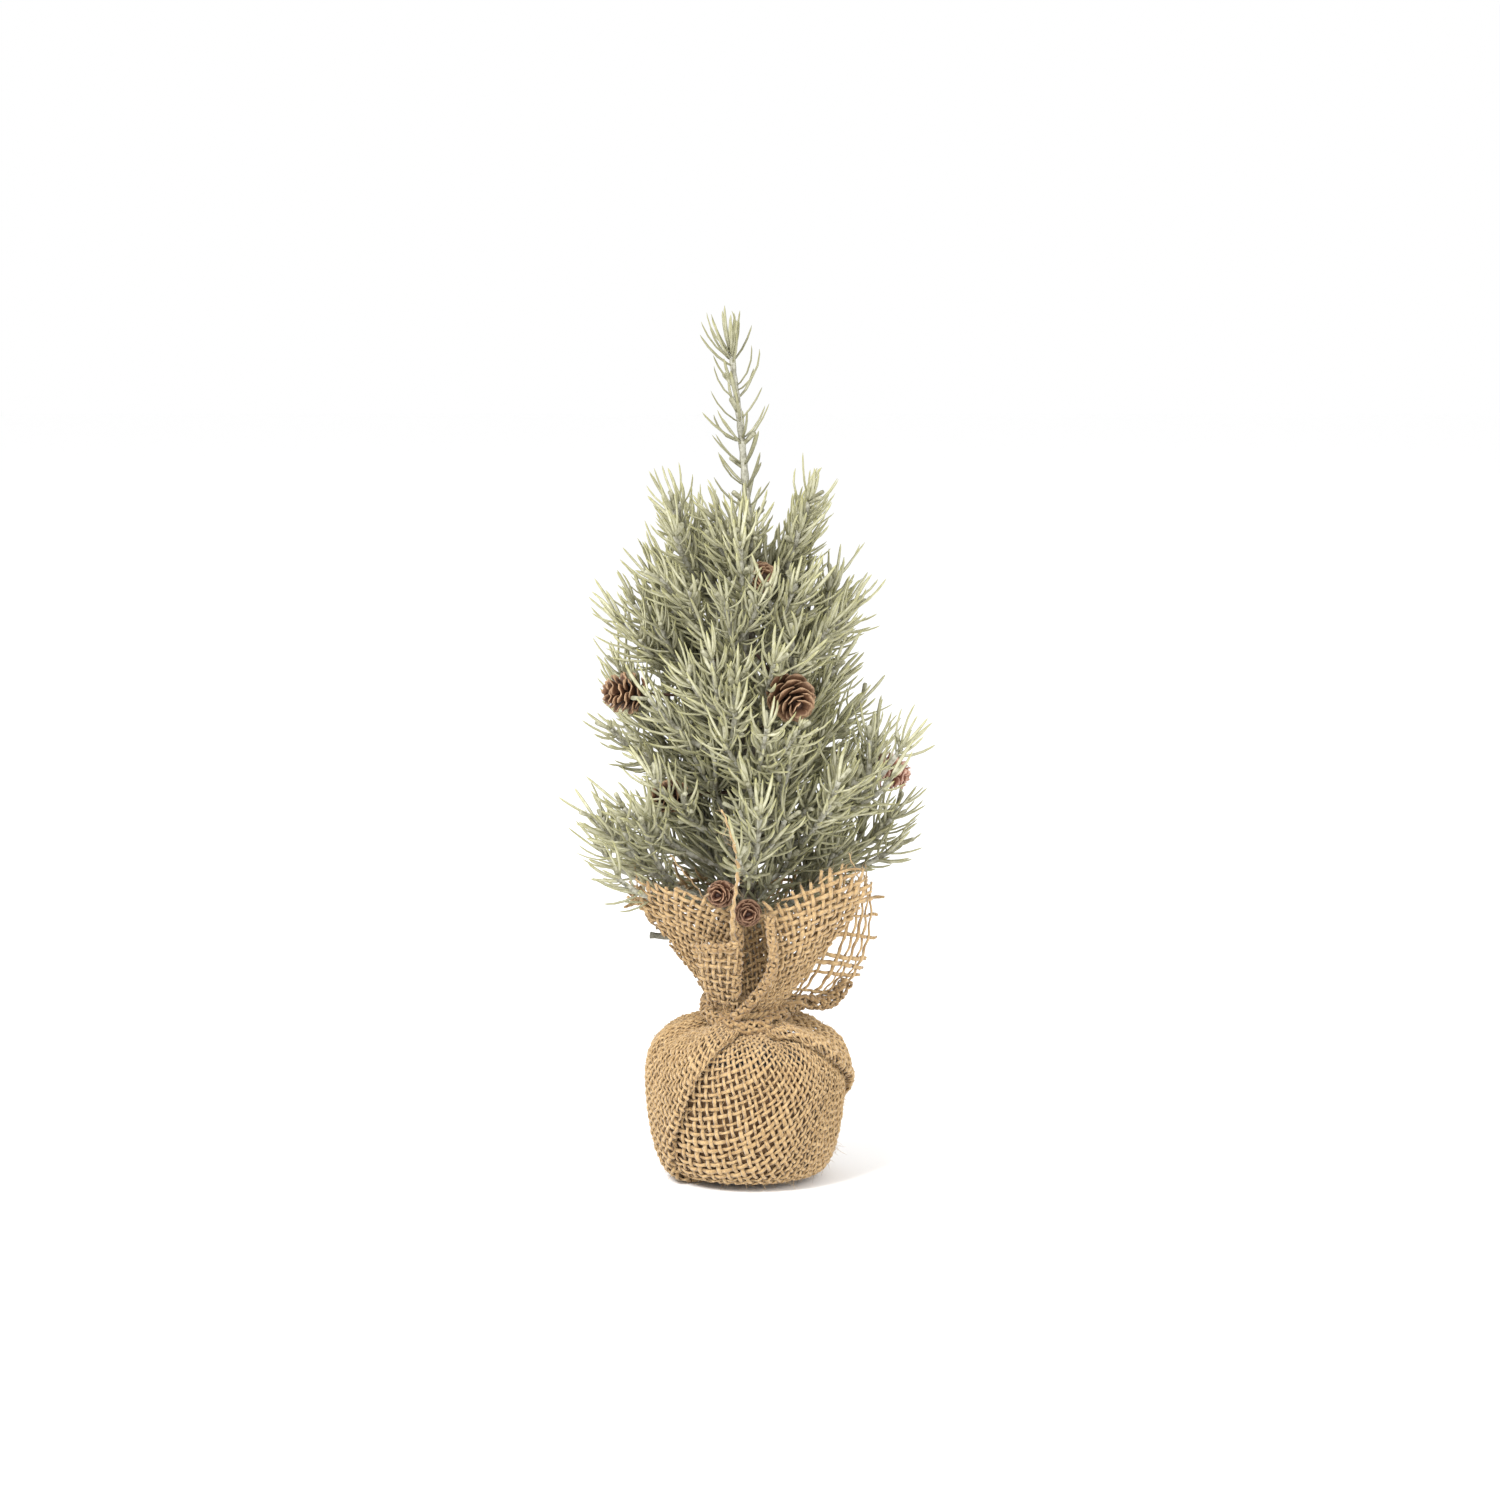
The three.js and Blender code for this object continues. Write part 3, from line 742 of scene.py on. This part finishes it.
def add_scale(mesh, foot, way, out, length, width, tilt, rng):
    """One thin, rounded scale: it leans out by tilt, closes in a little and turns back at its rim."""
    rows, columns = SCALE_GRID
    p = np.linspace(0, 1, rows)
    q = np.linspace(-1, 1, columns)[None]
    lean = tilt + np.radians(np.interp(p, (0, 0.6, 1), (8, -12, 34)) + rng.normal(0, 3))
    turn = np.stack([np.cos(lean), np.sin(lean)], -1)
    turn[0] = 0
    path = np.cumsum(turn, 0) * length / (rows - 1)
    middle = foot + way * path[:, :1] + out * path[:, 1:]
    half = width / 2 * np.interp(p, (0, 0.25, 0.55, 0.8, 0.93, 1), (0.35, 0.62, 0.94, 1, 0.82, 0.5))
    cup = width * (0.16 * q**2 + 0.02 * np.sin(4 * q + rng.uniform(*ANY_PHASE))) * p[:, None]
    spread = np.cross(way, out) * (half[:, None] * q)[..., None]
    normal = (out * np.cos(lean)[:, None] - way * np.sin(lean)[:, None])[:, None]
    thick = (0.28 * MM * (1 - 0.5 * p[:, None] ** 4) * (1 - 0.5 * q**6))[..., None]
    sheet = middle[:, None] + spread + way * cup[..., None]
    points = np.stack([sheet + normal * thick, sheet - normal * thick])
    rim = np.maximum(p[:, None] ** 6, np.abs(q) ** 6 * p[:, None])
    mesh.add(points, [scale_faces(rows, columns)], rim=rim, along=p[:, None], tint=rng.uniform(0, 1))


def build_cone(node, material, rng):
    """A dried larch cone: open scales in a spiral round a core, on a thin stalk."""
    start, way, low, high, radius = cone_place(node)
    length = high - low
    level = sideways(way[None])[0]
    upright = np.cross(level, way)
    mesh = Gathered()
    run = np.linspace(0, high - 0.15 * length, 30)
    core = start + way * run[:, None]
    half = np.where(run < low, 0.5 * MM, 0.3 * radius)
    half[-1] *= 0.3
    across = np.broadcast_to(level, core.shape)
    mesh.add(*tubes(core[None], across[None], half[None], half[None], 10), rim=0.0, along=0.2, tint=0.5)
    for i in range(CONE_SCALES):
        share = (i + 0.5) / CONE_SCALES
        turn = i * GOLDEN_ANGLE
        out = level * math.cos(turn) + upright * math.sin(turn)
        tilt = math.radians(np.interp(share, (0, 0.2, 0.6, 0.85, 1), (82, 68, 52, 34, 12)))
        reach = radius * np.interp(share, (0, 0.15, 0.5, 0.8, 1), (0.62, 0.84, 0.9, 0.68, 0.42))
        width = radius * np.interp(share, (0, 0.15, 0.5, 0.8, 1), (0.75, 0.95, 0.95, 0.75, 0.5))
        foot = start + way * (low + length * (0.04 + 0.72 * share)) + out * 0.15 * radius
        add_scale(mesh, foot, way, out, reach, width, tilt, rng)
    mesh.build(node + "_scales", material, "base", "cone", [node])


# ---------------- the burlap wrap
#
# Cloth is woven from real yarns. A surface gives the place in millimetres of a point of the
# flat cloth, and weave() runs yarns over and under each other along two directions of it.


def cut_corners(points, times=3):
    """A line through the points with its corners rounded off."""
    line = np.array(points, float)
    for _ in range(times):
        near, far = line[:-1], line[1:]
        inner = np.stack([0.75 * near + 0.25 * far, 0.25 * near + 0.75 * far], 1)
        line = np.concatenate([line[:1], inner.reshape(-1, line.shape[1])[1:-1], line[-1:]])
    return line


class Weave:
    """The yarns of the wrap: one family lengthwise, one crosswise, and loose fibres."""

    def __init__(self, rng):
        self.rng = rng
        self.families = [Gathered(), Gathered()]
        self.fibres = Gathered()
        self.stations = []

    def weave(self, surface, inside, low, high, turn=0.0, loose=None, missing=0.0, pitch=YARN_PITCH):
        """Weaves the part of the flat cloth that is inside, within the box from low to high."""
        corners = np.array([(x, y) for x in (low[0], high[0]) for y in (low[1], high[1])])
        for family in (0, 1):
            angle = math.radians(turn + 90 * family)
            along = np.array((math.cos(angle), math.sin(angle)))
            across = np.array((-along[1], along[0]))
            reach, side = corners @ along, corners @ across
            b = np.arange(reach.min(), reach.max(), YARN_STEP)
            for i in range(int(side.min() // pitch), int(side.max() // pitch) + 2):
                a = i * pitch + self.rng.normal(0, 0.16)
                sway = 0.32 * np.sin(b / 9 + self.rng.uniform(*ANY_PHASE))
                sway = sway + 0.16 * np.sin(b / 3.1 + self.rng.uniform(*ANY_PHASE))
                if self.rng.uniform() < missing:
                    continue
                flat = b[:, None] * along + (a + sway)[:, None] * across
                kept = inside(flat[:, 0], flat[:, 1])
                for first, last in runs(kept):
                    first, last = self.frayed(flat, first, last, loose)
                    if last - first < 5:
                        continue
                    lift = np.cos(math.pi * (b[first:last] / pitch + i)) * (1 - 2 * family)
                    past = fraying(kept[first:last])
                    self.yarn(surface, flat[first:last], across, lift, past, family)

    def frayed(self, flat, first, last, loose):
        """A run's ends, carried past a loose edge by a random length."""
        if loose is None:
            return first, last
        extra = (self.rng.uniform(0.5, 1.0, 2) ** 2 * FRAY_LENGTH / YARN_STEP).astype(int)
        if first > 0 and loose(*flat[first]):
            first = max(0, first - extra[0])
        if last < len(flat) and loose(*flat[last - 1]):
            last = min(len(flat), last + extra[1])
        return first, last

    def yarn(self, surface, flat, across, lift, past, family):
        """One yarn: crimped over and under, thicker in its slubs, and flatter where it is loose."""
        rng = self.rng
        centre = surface(flat[:, 0], flat[:, 1])
        beside = surface(*(flat + 0.4 * across).T) - centre
        way = headings(centre)
        beside = beside - (beside * way).sum(-1, keepdims=True) * way
        room = np.linalg.norm(beside, axis=1) / 0.4
        normal = np.cross(way, unit(beside))
        width = np.clip(room, 0.45, 1.1) ** 0.8
        thick = np.clip(rng.normal(1, 0.12), 0.7, 1.35)
        curl = rng.normal(0, 1, 2) * 0.045
        loosened = past**2
        centre = centre + normal * (lift * YARN_CRIMP * (1 - 0.3 * (past > 0)))[:, None]
        centre = centre + normal * (curl[0] * loosened)[:, None]
        centre = centre + unit(beside) * (curl[1] * loosened)[:, None]
        fade = np.clip(1 - past / (1.6 * FRAY_LENGTH), 0.45, 1)
        half = YARN_WIDTH / 2 * thick * width * fade
        deep = YARN_DEPTH / 2 * thick * (1.25 - 0.25 * width) * fade
        self.thread(centre, unit(beside), half, deep, family, lift, 1 + 5 * (past > 0))

    def thread(self, centre, beside, half, deep, family=0, over=1.0, fuzz=2.0):
        """The tube of one yarn, with its slubs, resting on the floor where it would go under."""
        rng = self.rng
        run = lengths_along(centre)
        slub = 1 + 0.16 * np.sin(run / 5 + rng.uniform(*ANY_PHASE)) + 0.09 * rng.normal(size=len(run))
        width, depth = (half * slub)[None] * MM, (deep * slub)[None] * MM
        points, faces = tubes(centre[None] * MM, beside[None], width, depth, YARN_SIDES)
        points[..., 2] = np.maximum(points[..., 2], 0)
        around = np.arange(YARN_SIDES) / YARN_SIDES
        twist = np.cos(math.tau * (around[None] + run[:, None] / YARN_TWIST))
        # Painted shade: yarns in the tight folds round the neck are darkened through their over value.
        off = np.hypot(centre[:, 0], centre[:, 1])
        tight = np.exp(-(((centre[:, 2] - NECK_HEIGHT) / 5) ** 2))
        neck_shade = tight * np.clip((17 - off) / 4, 0, 1)
        over = (over - 1.6 * neck_shade)[:, None]
        self.families[family].add(points, faces, twist=twist, tint=rng.uniform(0, 1), over=over)
        way = headings(centre)
        fuzz = np.broadcast_to(np.reshape(fuzz, (-1, 1)), half[:, None].shape)
        station = [centre, way, np.cross(way, beside), half[:, None], fuzz]
        self.stations.append(np.concatenate(station, 1))

    def loose_end(self, route, half):
        """A yarn pulled out of the cloth, through a few points, thinning to its frayed end."""
        centre = cut_corners(route)
        centre = at(centre, np.arange(0, lengths_along(centre)[-1], YARN_STEP))[0]
        centre = centre + 0.25 * np.sin(np.arange(len(centre)) * 1.1)[:, None] * np.array((1, 0.5, 0))
        half = half * np.linspace(1, 0.55, len(centre))
        self.thread(centre, sideways(headings(centre)), half, 0.75 * half)

    def add_fibres(self, share):
        """Loose fibres that stand off the yarns, one for each share of the yarns' stations."""
        rng = self.rng
        stations = np.concatenate(self.stations)
        chance = stations[:, 10] / stations[:, 10].sum()
        chosen = stations[rng.choice(len(stations), int(share * len(stations)), p=chance)]
        centre, way, normal, half = chosen[:, :3], chosen[:, 3:6], chosen[:, 6:9], chosen[:, 9:10]
        n = len(chosen)
        side = np.cross(way, normal)
        turn = rng.uniform(-2.0, 2.0, n)[:, None]
        out = normal * np.cos(turn) + side * np.sin(turn)
        either_way = rng.choice((-1, 1), n)[:, None]
        heading = unit(way * either_way + out * rng.uniform(0.25, 1.3, n)[:, None])
        bend = unit(rng.normal(size=(n, 3)))
        length = rng.uniform(1.0, 2.2, n)[:, None, None] ** 2
        s = np.linspace(0, 1, 4)[None, :, None]
        line = (centre + out * 0.5 * half)[:, None] + heading[:, None] * length * s
        line = line + (bend * 0.35)[:, None] * length * s**2
        radius = rng.uniform(0.04, 0.08, n)[:, None] * np.array((1, 1, 0.8, 0.35))
        across = np.broadcast_to(bend[:, None], line.shape)
        line[..., 2] = np.maximum(line[..., 2], 0.2)
        fibres = tubes(line * MM, across, radius * MM, radius * MM, 3)
        self.fibres.add(*fibres, twist=0.6, tint=rng.uniform(0, 1, n)[:, None, None], over=1.0)


def runs(kept):
    """First and last-plus-one of each stretch of True."""
    edges = np.flatnonzero(np.diff(np.concatenate([[0], kept.astype(int), [0]])))
    return edges.reshape(-1, 2)


def fraying(kept):
    """How far, in mm, each station of a yarn is past the woven cloth."""
    inner = np.flatnonzero(kept)
    index = np.arange(len(kept))
    return np.maximum(np.maximum(inner[0] - index, index - inner[-1]), 0) * YARN_STEP


BAG_LINE = cut_corners(BAG_OUTLINE)
BAG_RUN = lengths_along(BAG_LINE)


def bag_outline(s):
    """The bag's radius and height at a run up it from under the middle of the base."""
    return np.interp(s, BAG_RUN, BAG_LINE[:, 0]), np.interp(s, BAG_RUN, BAG_LINE[:, 1])


def bag_place(middle, spread, crowd):
    """How far up the bag a point of the flat cloth lies, and its azimuth in degrees. The flat
    cloth's origin is under the middle of the base, and its y axis runs up the wall at the
    azimuth middle. spread is how many degrees of flat cloth make one of azimuth there, and crowd
    packs the yarns closer to the right of it, most of all CROWDED_AT degrees away."""

    def place(x, y):
        s = np.hypot(x, y)
        # Near the base the cloth isn't gathered yet.
        share = np.interp(s, (24, 60), (min(0.85, spread + 0.2), spread))
        flat_turn = np.degrees(np.arctan2(x, y))
        beyond = 2 * CROWDED_AT**2 - (2 * CROWDED_AT - flat_turn) ** 2
        squeeze = np.where(flat_turn < CROWDED_AT, flat_turn**2, beyond) / 100
        return s, middle + (flat_turn - crowd * squeeze) / share

    return place


def past_fold(s, turn, fold):
    """How far in mm a point of the cloth is from a fold's crest, and positive on its upper side.
    A fold is its azimuth for each run up the bag, and the side of it that the cloth lies on."""
    edge, side = fold
    r = np.maximum(bag_outline(s)[0], 8)
    return side * np.radians(turn - edge(s)) * r


def bag_surface(place, lift, fold=None):
    """The cloth round the pot, at a height over the bag's outline. Towards a fold it swells, and
    at the fold's crest it turns round and runs back under itself."""

    def surface(x, y):
        s, turn = place(x, y)
        r, z = bag_outline(s)
        high = lift + 0 * s
        if fold is not None:
            past = past_fold(s, turn, fold)
            around = np.clip(past / FOLD_RADIUS, -math.pi / 2, math.pi / 2)
            flat = np.maximum(np.abs(past) - FOLD_RADIUS * math.pi / 2, 0)
            back = flat + FOLD_RADIUS * (1 - np.cos(around))
            turn = fold[0](s) + fold[1] * np.degrees(back / np.maximum(r, 8))
            fade = np.interp(s, (38, 68), (0.1, 1))
            high = high + FOLD_RADIUS * np.sin(around) + fade * FOLD_RISE * np.exp(-((back / 8) ** 2))
        phi = np.radians(turn)
        (inner_r, inner_z), (outer_r, outer_z) = bag_outline(s - 1), bag_outline(s + 1)
        dr, dz = outer_r - inner_r, outer_z - inner_z
        steep = np.hypot(dr, dz) + 1e-9
        pleat = np.interp(s, (62, 76, 90, 104), (0, 0.8, 1.9, 2.0))
        high = high + pleat * (0.6 * np.cos(9 * phi + 0.6) + 0.4 * np.cos(16 * phi + 2.0))
        r = r + high * dz / steep
        z = np.maximum(z - high * dr / steep, YARN_DEPTH)
        return np.stack([r * np.cos(phi), r * np.sin(phi), z], -1)

    return surface


def bag_panel(weave, place, lift, first, last, fold=None):
    """Weaves the bag between two limits, each a function that gives an azimuth for a run s. The
    limit that is the fold is passed by the cloth that runs back under."""

    def inside(x, y):
        s, turn = place(x, y)
        kept = (s > 12) & (s < BAG_RUN[-1])
        for edge, side in ((first, 1), (last, -1)):
            if fold is not None and fold[0] is edge:
                kept &= past_fold(s, turn, fold) > -FOLD_UNDER
            else:
                kept &= side * (turn - edge(s)) > 0
        return kept

    reach = BAG_RUN[-1]
    weave.weave(bag_surface(place, lift, fold), inside, (-reach, -reach), (reach, reach))


def limit(*pairs):
    """A panel's edge: an azimuth for each run up the bag, straight between the given ones."""
    runs_up, turns = zip(*pairs)
    return lambda s: np.interp(s, runs_up, turns)


def build_bag(weave):
    """Three panels that lap over each other in the folds seen round the pot."""
    left_fold = limit((32, -150), (92, -97))
    right_fold = limit((30, 34), (50, 22), (58, 6), (63, -12), (70, -30), (77, -47), (92, -74))
    back_fold = limit((30, 152), (92, 128))
    front = bag_place(-124, 0.6, 0.36)
    bag_panel(weave, front, -1.1, limit((0, -172)), lambda s: right_fold(s) + PANEL_LAP)
    right = bag_place(-34, 0.85, 0)
    right_end = lambda s: back_fold(s) + PANEL_LAP
    bag_panel(weave, right, -0.4, right_fold, right_end, (right_fold, 1))
    left = bag_place(-97, 1.0, 0)
    bag_panel(weave, left, -0.2, lambda s: back_fold(s) - 360, left_fold, (left_fold, -1))


def flap_surface(left, right, size, bulge, ripple, inward):
    """A flap of the collar between its two side edges, each a bend through three points. The
    flat cloth's x runs across it and its y up it from the neck."""
    left, right = np.array(left, float), np.array(right, float)

    def surface(x, y):
        u, v = (x / size[0])[..., None], (y / size[1])[..., None]
        a, b = bend(*left, v), bend(*right, v)
        level = np.cross(b - a, UP)
        out = level / np.linalg.norm(level, axis=-1, keepdims=True)
        high = bulge * np.sin(math.pi * np.clip(u, 0, 1)) * np.clip(v, 0, 1.3)
        high = high + ripple * np.sin(7 * u + 2.5 * v + left[0, 0]) * np.clip(v, 0, 1) ** 2
        gather = 0.5 * np.cos(26 * u + left[0, 1]) * np.clip(1 - 1.6 * v, 0, 1)
        return a + (b - a) * u + out * (high + gather - inward * np.clip(2.5 * v, 0, 1))

    return surface


def build_flap(
    weave, left, right, size, top,
    turn=0.0, bulge=2.5, ripple=0.8, frayed=(False, True), missing=0.0, layers=1,
):  # fmt: skip
    """Weaves one flap, in one layer or more, with the inner ones a little lower. top gives its
    height at even steps across it, as shares of the flat height. frayed says whether its right
    side and its top are cut edges."""
    shares = np.linspace(0, 1, len(top))

    def crest(x):
        return np.interp(x / size[0], shares, top) * size[1]

    def inside(x, y):
        return (x > 0) & (x < size[0]) & (y > 0) & (y < crest(x))

    def loose(x, y):
        near_top = y > crest(x) - 1.5 * YARN_STEP - 0.25 * abs(x / size[0] - 0.5) * YARN_PITCH
        near_side = x > size[0] - 2 * YARN_STEP
        return (frayed[1] and near_top) or (frayed[0] and near_side and y > 0.25 * size[1])

    high = (size[0] + 8, size[1] * (max(top) + 0.2))
    for layer in range(layers):

        def lowered(x, y):
            return inside(x, y + LAYER_DROP * layer)

        surface = flap_surface(left, right, size, bulge, ripple, LAYER_GAP * layer)
        layer_turn = turn + LAYER_TURN * layer
        weave.weave(surface, lowered, (-8, -4), high, layer_turn, None if layer else loose, missing)


def build_roll(weave, route, radius):
    """A rolled edge: the cloth wound into a narrow tube along a route."""
    line = cut_corners(route)
    length, around = lengths_along(line)[-1], math.tau * radius

    def surface(x, y):
        centre, way = at(line, np.clip(y, 0, length))
        side = sideways(way)
        turn = (x / radius)[..., None]
        return centre + radius * (side * np.cos(turn) + np.cross(side, way) * np.sin(turn))

    def inside(x, y):
        return (x > 0) & (x < around) & (y > 0) & (y < length)

    weave.weave(surface, inside, (0, 0), (around, length), turn=28, pitch=0.72 * YARN_PITCH)


def build_collar(weave):
    """The corners of the cloth, standing up above the tie and opening outwards."""
    # The front left flap, and the narrow turned-down lip in front of it.
    left = [(-11, -4, 61), (-21, -11, 80), (-40, -16, 101)]
    right = [(-3, -9, 61), (-6, -15, 80), (-4, -24, 98)]
    top = (1.0, 1.14, 1.18, 1.1, 1.0)
    build_flap(weave, left, right, (42, 46), top, turn=-28, bulge=2.0, layers=2)
    left = [(-10.5, -7, 59), (-17, -19, 72), (-19.5, -25, 86)]
    right = [(-3, -11.5, 59), (-4, -25, 72), (-3, -31, 88)]
    hemmed = {"ripple": 0.2, "frayed": (False, False)}
    build_flap(weave, left, right, (18, 30), (0.98, 1.0, 1.0), turn=-6, bulge=1.8, layers=2, **hemmed)
    # The hollow between the two front flaps.
    left = [(-5, -9, 61), (-4, -11, 78), (-5, -16, 96)]
    right = [(7, -9, 61), (9, -11, 78), (11, -18, 98)]
    top = (0.98, 0.92, 0.98)
    build_flap(weave, left, right, (24, 38), top, turn=16, bulge=-2.5, ripple=0.3, layers=2)
    # The front right flap, and the loosely woven one behind it.
    left = [(-4, -11.5, 58), (13, -25, 76), (7, -27, 98)]
    right = [(9, -7, 59), (21, -17, 76), (41, -14, 100)]
    top = (1.0, 1.06, 1.2, 1.28, 1.14, 1.0)
    build_flap(weave, left, right, (38, 46), top, turn=16, bulge=2.2, layers=2)
    left = [(8, -5, 60), (18, -2, 68), (27, -6, 104)]
    right = [(11, 3, 59), (46, 6, 60), (44, 4, 101)]
    ragged = {"frayed": (True, True), "missing": 0.14}
    build_flap(weave, left, right, (26, 46), (1.0, 1.02, 1.0), turn=2, bulge=3.0, **ragged)
    # The two flaps at the back.
    left = [(10, 5, 61), (20, 14, 76), (38, 16, 100)]
    right = [(-2, 12, 61), (-2, 22, 78), (-5, 33, 99)]
    build_flap(weave, left, right, (44, 44), (0.98, 1.12, 1.16, 1.05, 0.92), turn=10)
    left = [(0, 12, 61), (-1, 23, 78), (2, 34, 97)]
    right = [(-12, 2, 61), (-24, 2, 80), (-40, -12, 100)]
    build_flap(weave, left, right, (44, 44), (0.95, 1.08, 1.16, 1.1, 1.0), turn=-12)
    for route, radius in ROLLED_EDGES:
        build_roll(weave, route, radius)
    for route, half in LOOSE_YARNS:
        weave.loose_end(route, half)


def build_burlap(rng):
    weave = Weave(rng)
    build_bag(weave)
    build_collar(weave)
    weave.add_fibres(FIBRE_SHARE)
    warp = weave.families[0].build("burlap_warp", BURLAP, "base", "burlap", ["burlap_wrap"])
    weft = weave.families[1].build("burlap_weft", BURLAP, "base", "burlap")
    fibres = weave.fibres.build("burlap_fibres", BURLAP, "base", "burlap")


def build_tie(rng):
    """The cord round the neck: three turns of twisted jute, one of them crossing the others."""
    tie = Gathered()
    for radius, height, tilt, low_side, thick in TIE_TURNS:
        phi = np.linspace(0, math.tau, 120)
        slope = math.tan(math.radians(tilt)) * radius * 0.6
        level = height - slope * np.cos(phi - math.radians(low_side))
        core = np.stack([radius * np.cos(phi), radius * np.sin(phi), level], -1)
        out = np.stack([np.cos(phi), np.sin(phi), 0 * phi], -1)
        for ply in range(3):
            spin = phi * round(math.tau * radius / PLY_TURN) + ply * math.tau / 3
            offset = out * np.cos(spin)[:, None] + UP * np.sin(spin)[:, None]
            line = core + 0.7 * thick * offset
            half = (PLY_WIDTH * thick * (1 + 0.06 * rng.normal(size=len(phi))))[None]
            cord = tubes(line[None] * MM, out[None], half * MM, half * MM, YARN_SIDES)
            around = np.arange(YARN_SIDES) / YARN_SIDES
            twist = np.cos(math.tau * (around[None] + spin[:, None] / 2))
            tie.add(*cord, twist=twist, tint=rng.uniform(0, 1), over=1.0)
    tie.build("twisted_tie", BURLAP, "base", "jute", ["neck_tie"])


# ---------------- floor, light and camera


def build_studio():
    """A pale floor, soft light from all round with a large key light, and the camera."""
    floor_material = Shader("studio floor", Specular_IOR_Level=0.1)
    floor_mesh = bpy.data.meshes.new("floor")
    half = 6.0
    corners = [(-half, -half, 0), (half, -half, 0), (half, half, 0), (-half, half, 0)]
    floor_mesh.from_pydata(corners, [], [(0, 1, 2, 3)])
    floor_mesh.materials.append(floor_material.finish((0.99, 0.99, 0.99), 0.9))
    floor = add_object("floor", floor_mesh)

    world = bpy.data.worlds.new("studio")
    world.use_nodes = True
    background = world.node_tree.nodes["Background"]
    background.inputs["Color"].default_value = (1, 1, 1, 1)
    background.inputs["Strength"].default_value = 1.0
    bpy.context.scene.world = world
    bpy.context.scene.view_settings.view_transform = "Standard"

    add_light("key", (-0.7, -0.9, 1.25), 0.55, 27)
    add_light("fill", (0.95, -0.9, 0.7), 0.9, 9)

    centre = Vector((0.0007, 0, 0.1514))
    distance, elevation = 1.5, math.radians(7)
    view_width = 0.522  # what the picture is wide at the trunk
    camera = bpy.data.cameras.new("camera")
    camera.lens = camera.sensor_width * distance / view_width
    placed = add_object("camera", camera)
    placed.location = centre + distance * Vector((0, -math.cos(elevation), math.sin(elevation)))
    aim(placed, centre)
    bpy.context.scene.camera = placed


def aim(placed, target):
    placed.rotation_euler = (target - placed.location).to_track_quat("-Z", "Y").to_euler()


def add_light(name, position, size, power):
    light = bpy.data.lights.new(name, "AREA")
    light.size = size
    light.energy = power
    lamp = add_object(name, light)
    lamp.location = position
    aim(lamp, Vector((0, 0, 0.15)))


# ---------------- the tree


build_studio()
NEEDLES = needle_material()
STEM = stem_material()
BARK = bark_material()
BROWN_CONE = cone_material("brown cone scales", *BROWN_TONES)
RED_CONE = cone_material("reddish cone scales", *RED_TONES)
PINK_CONE = cone_material("pinkish cone scales", *PINK_TONES)
CONE_FINISHES = {"collar_cone_left": RED_CONE, "collar_cone_right": RED_CONE, "right_cone": PINK_CONE}

BURLAP = burlap_material()
CAD_FINISHES = {"pot": pot_material(), "ballast": cement_material(), "trunk_wire": wire_material()}
for node, finish in CAD_FINISHES.items():
    frame["nodes"][node].material_slots[0].material = finish

cone_names = [name for name in frame["record"]["behaviour"]["bodies"]["base"] if "cone" in name]
CONE_PLACES = [open_end(name) for name in cone_names if name != "hidden_left_cone"]
# The right cone lies deep between the shoots, so the needles in front of it give way too.
CONE_PLACES.append(open_end("right_cone") + np.array((0, -12 * MM, 0)))

build_burlap(np.random.default_rng(3))
build_tie(np.random.default_rng(4))
branch_names = [name for name in frame["bodies"] if name not in ("base", "top_shoot")]
for number, branch in enumerate(branch_names):
    build_branch(branch, np.random.default_rng(100 + number), 0.95)
build_leader(np.random.default_rng(1))
build_trunk_sprigs(np.random.default_rng(2))
build_trunk()
for number, cone in enumerate(cone_names):
    build_cone(cone, CONE_FINISHES.get(cone, BROWN_CONE), np.random.default_rng(50 + number))
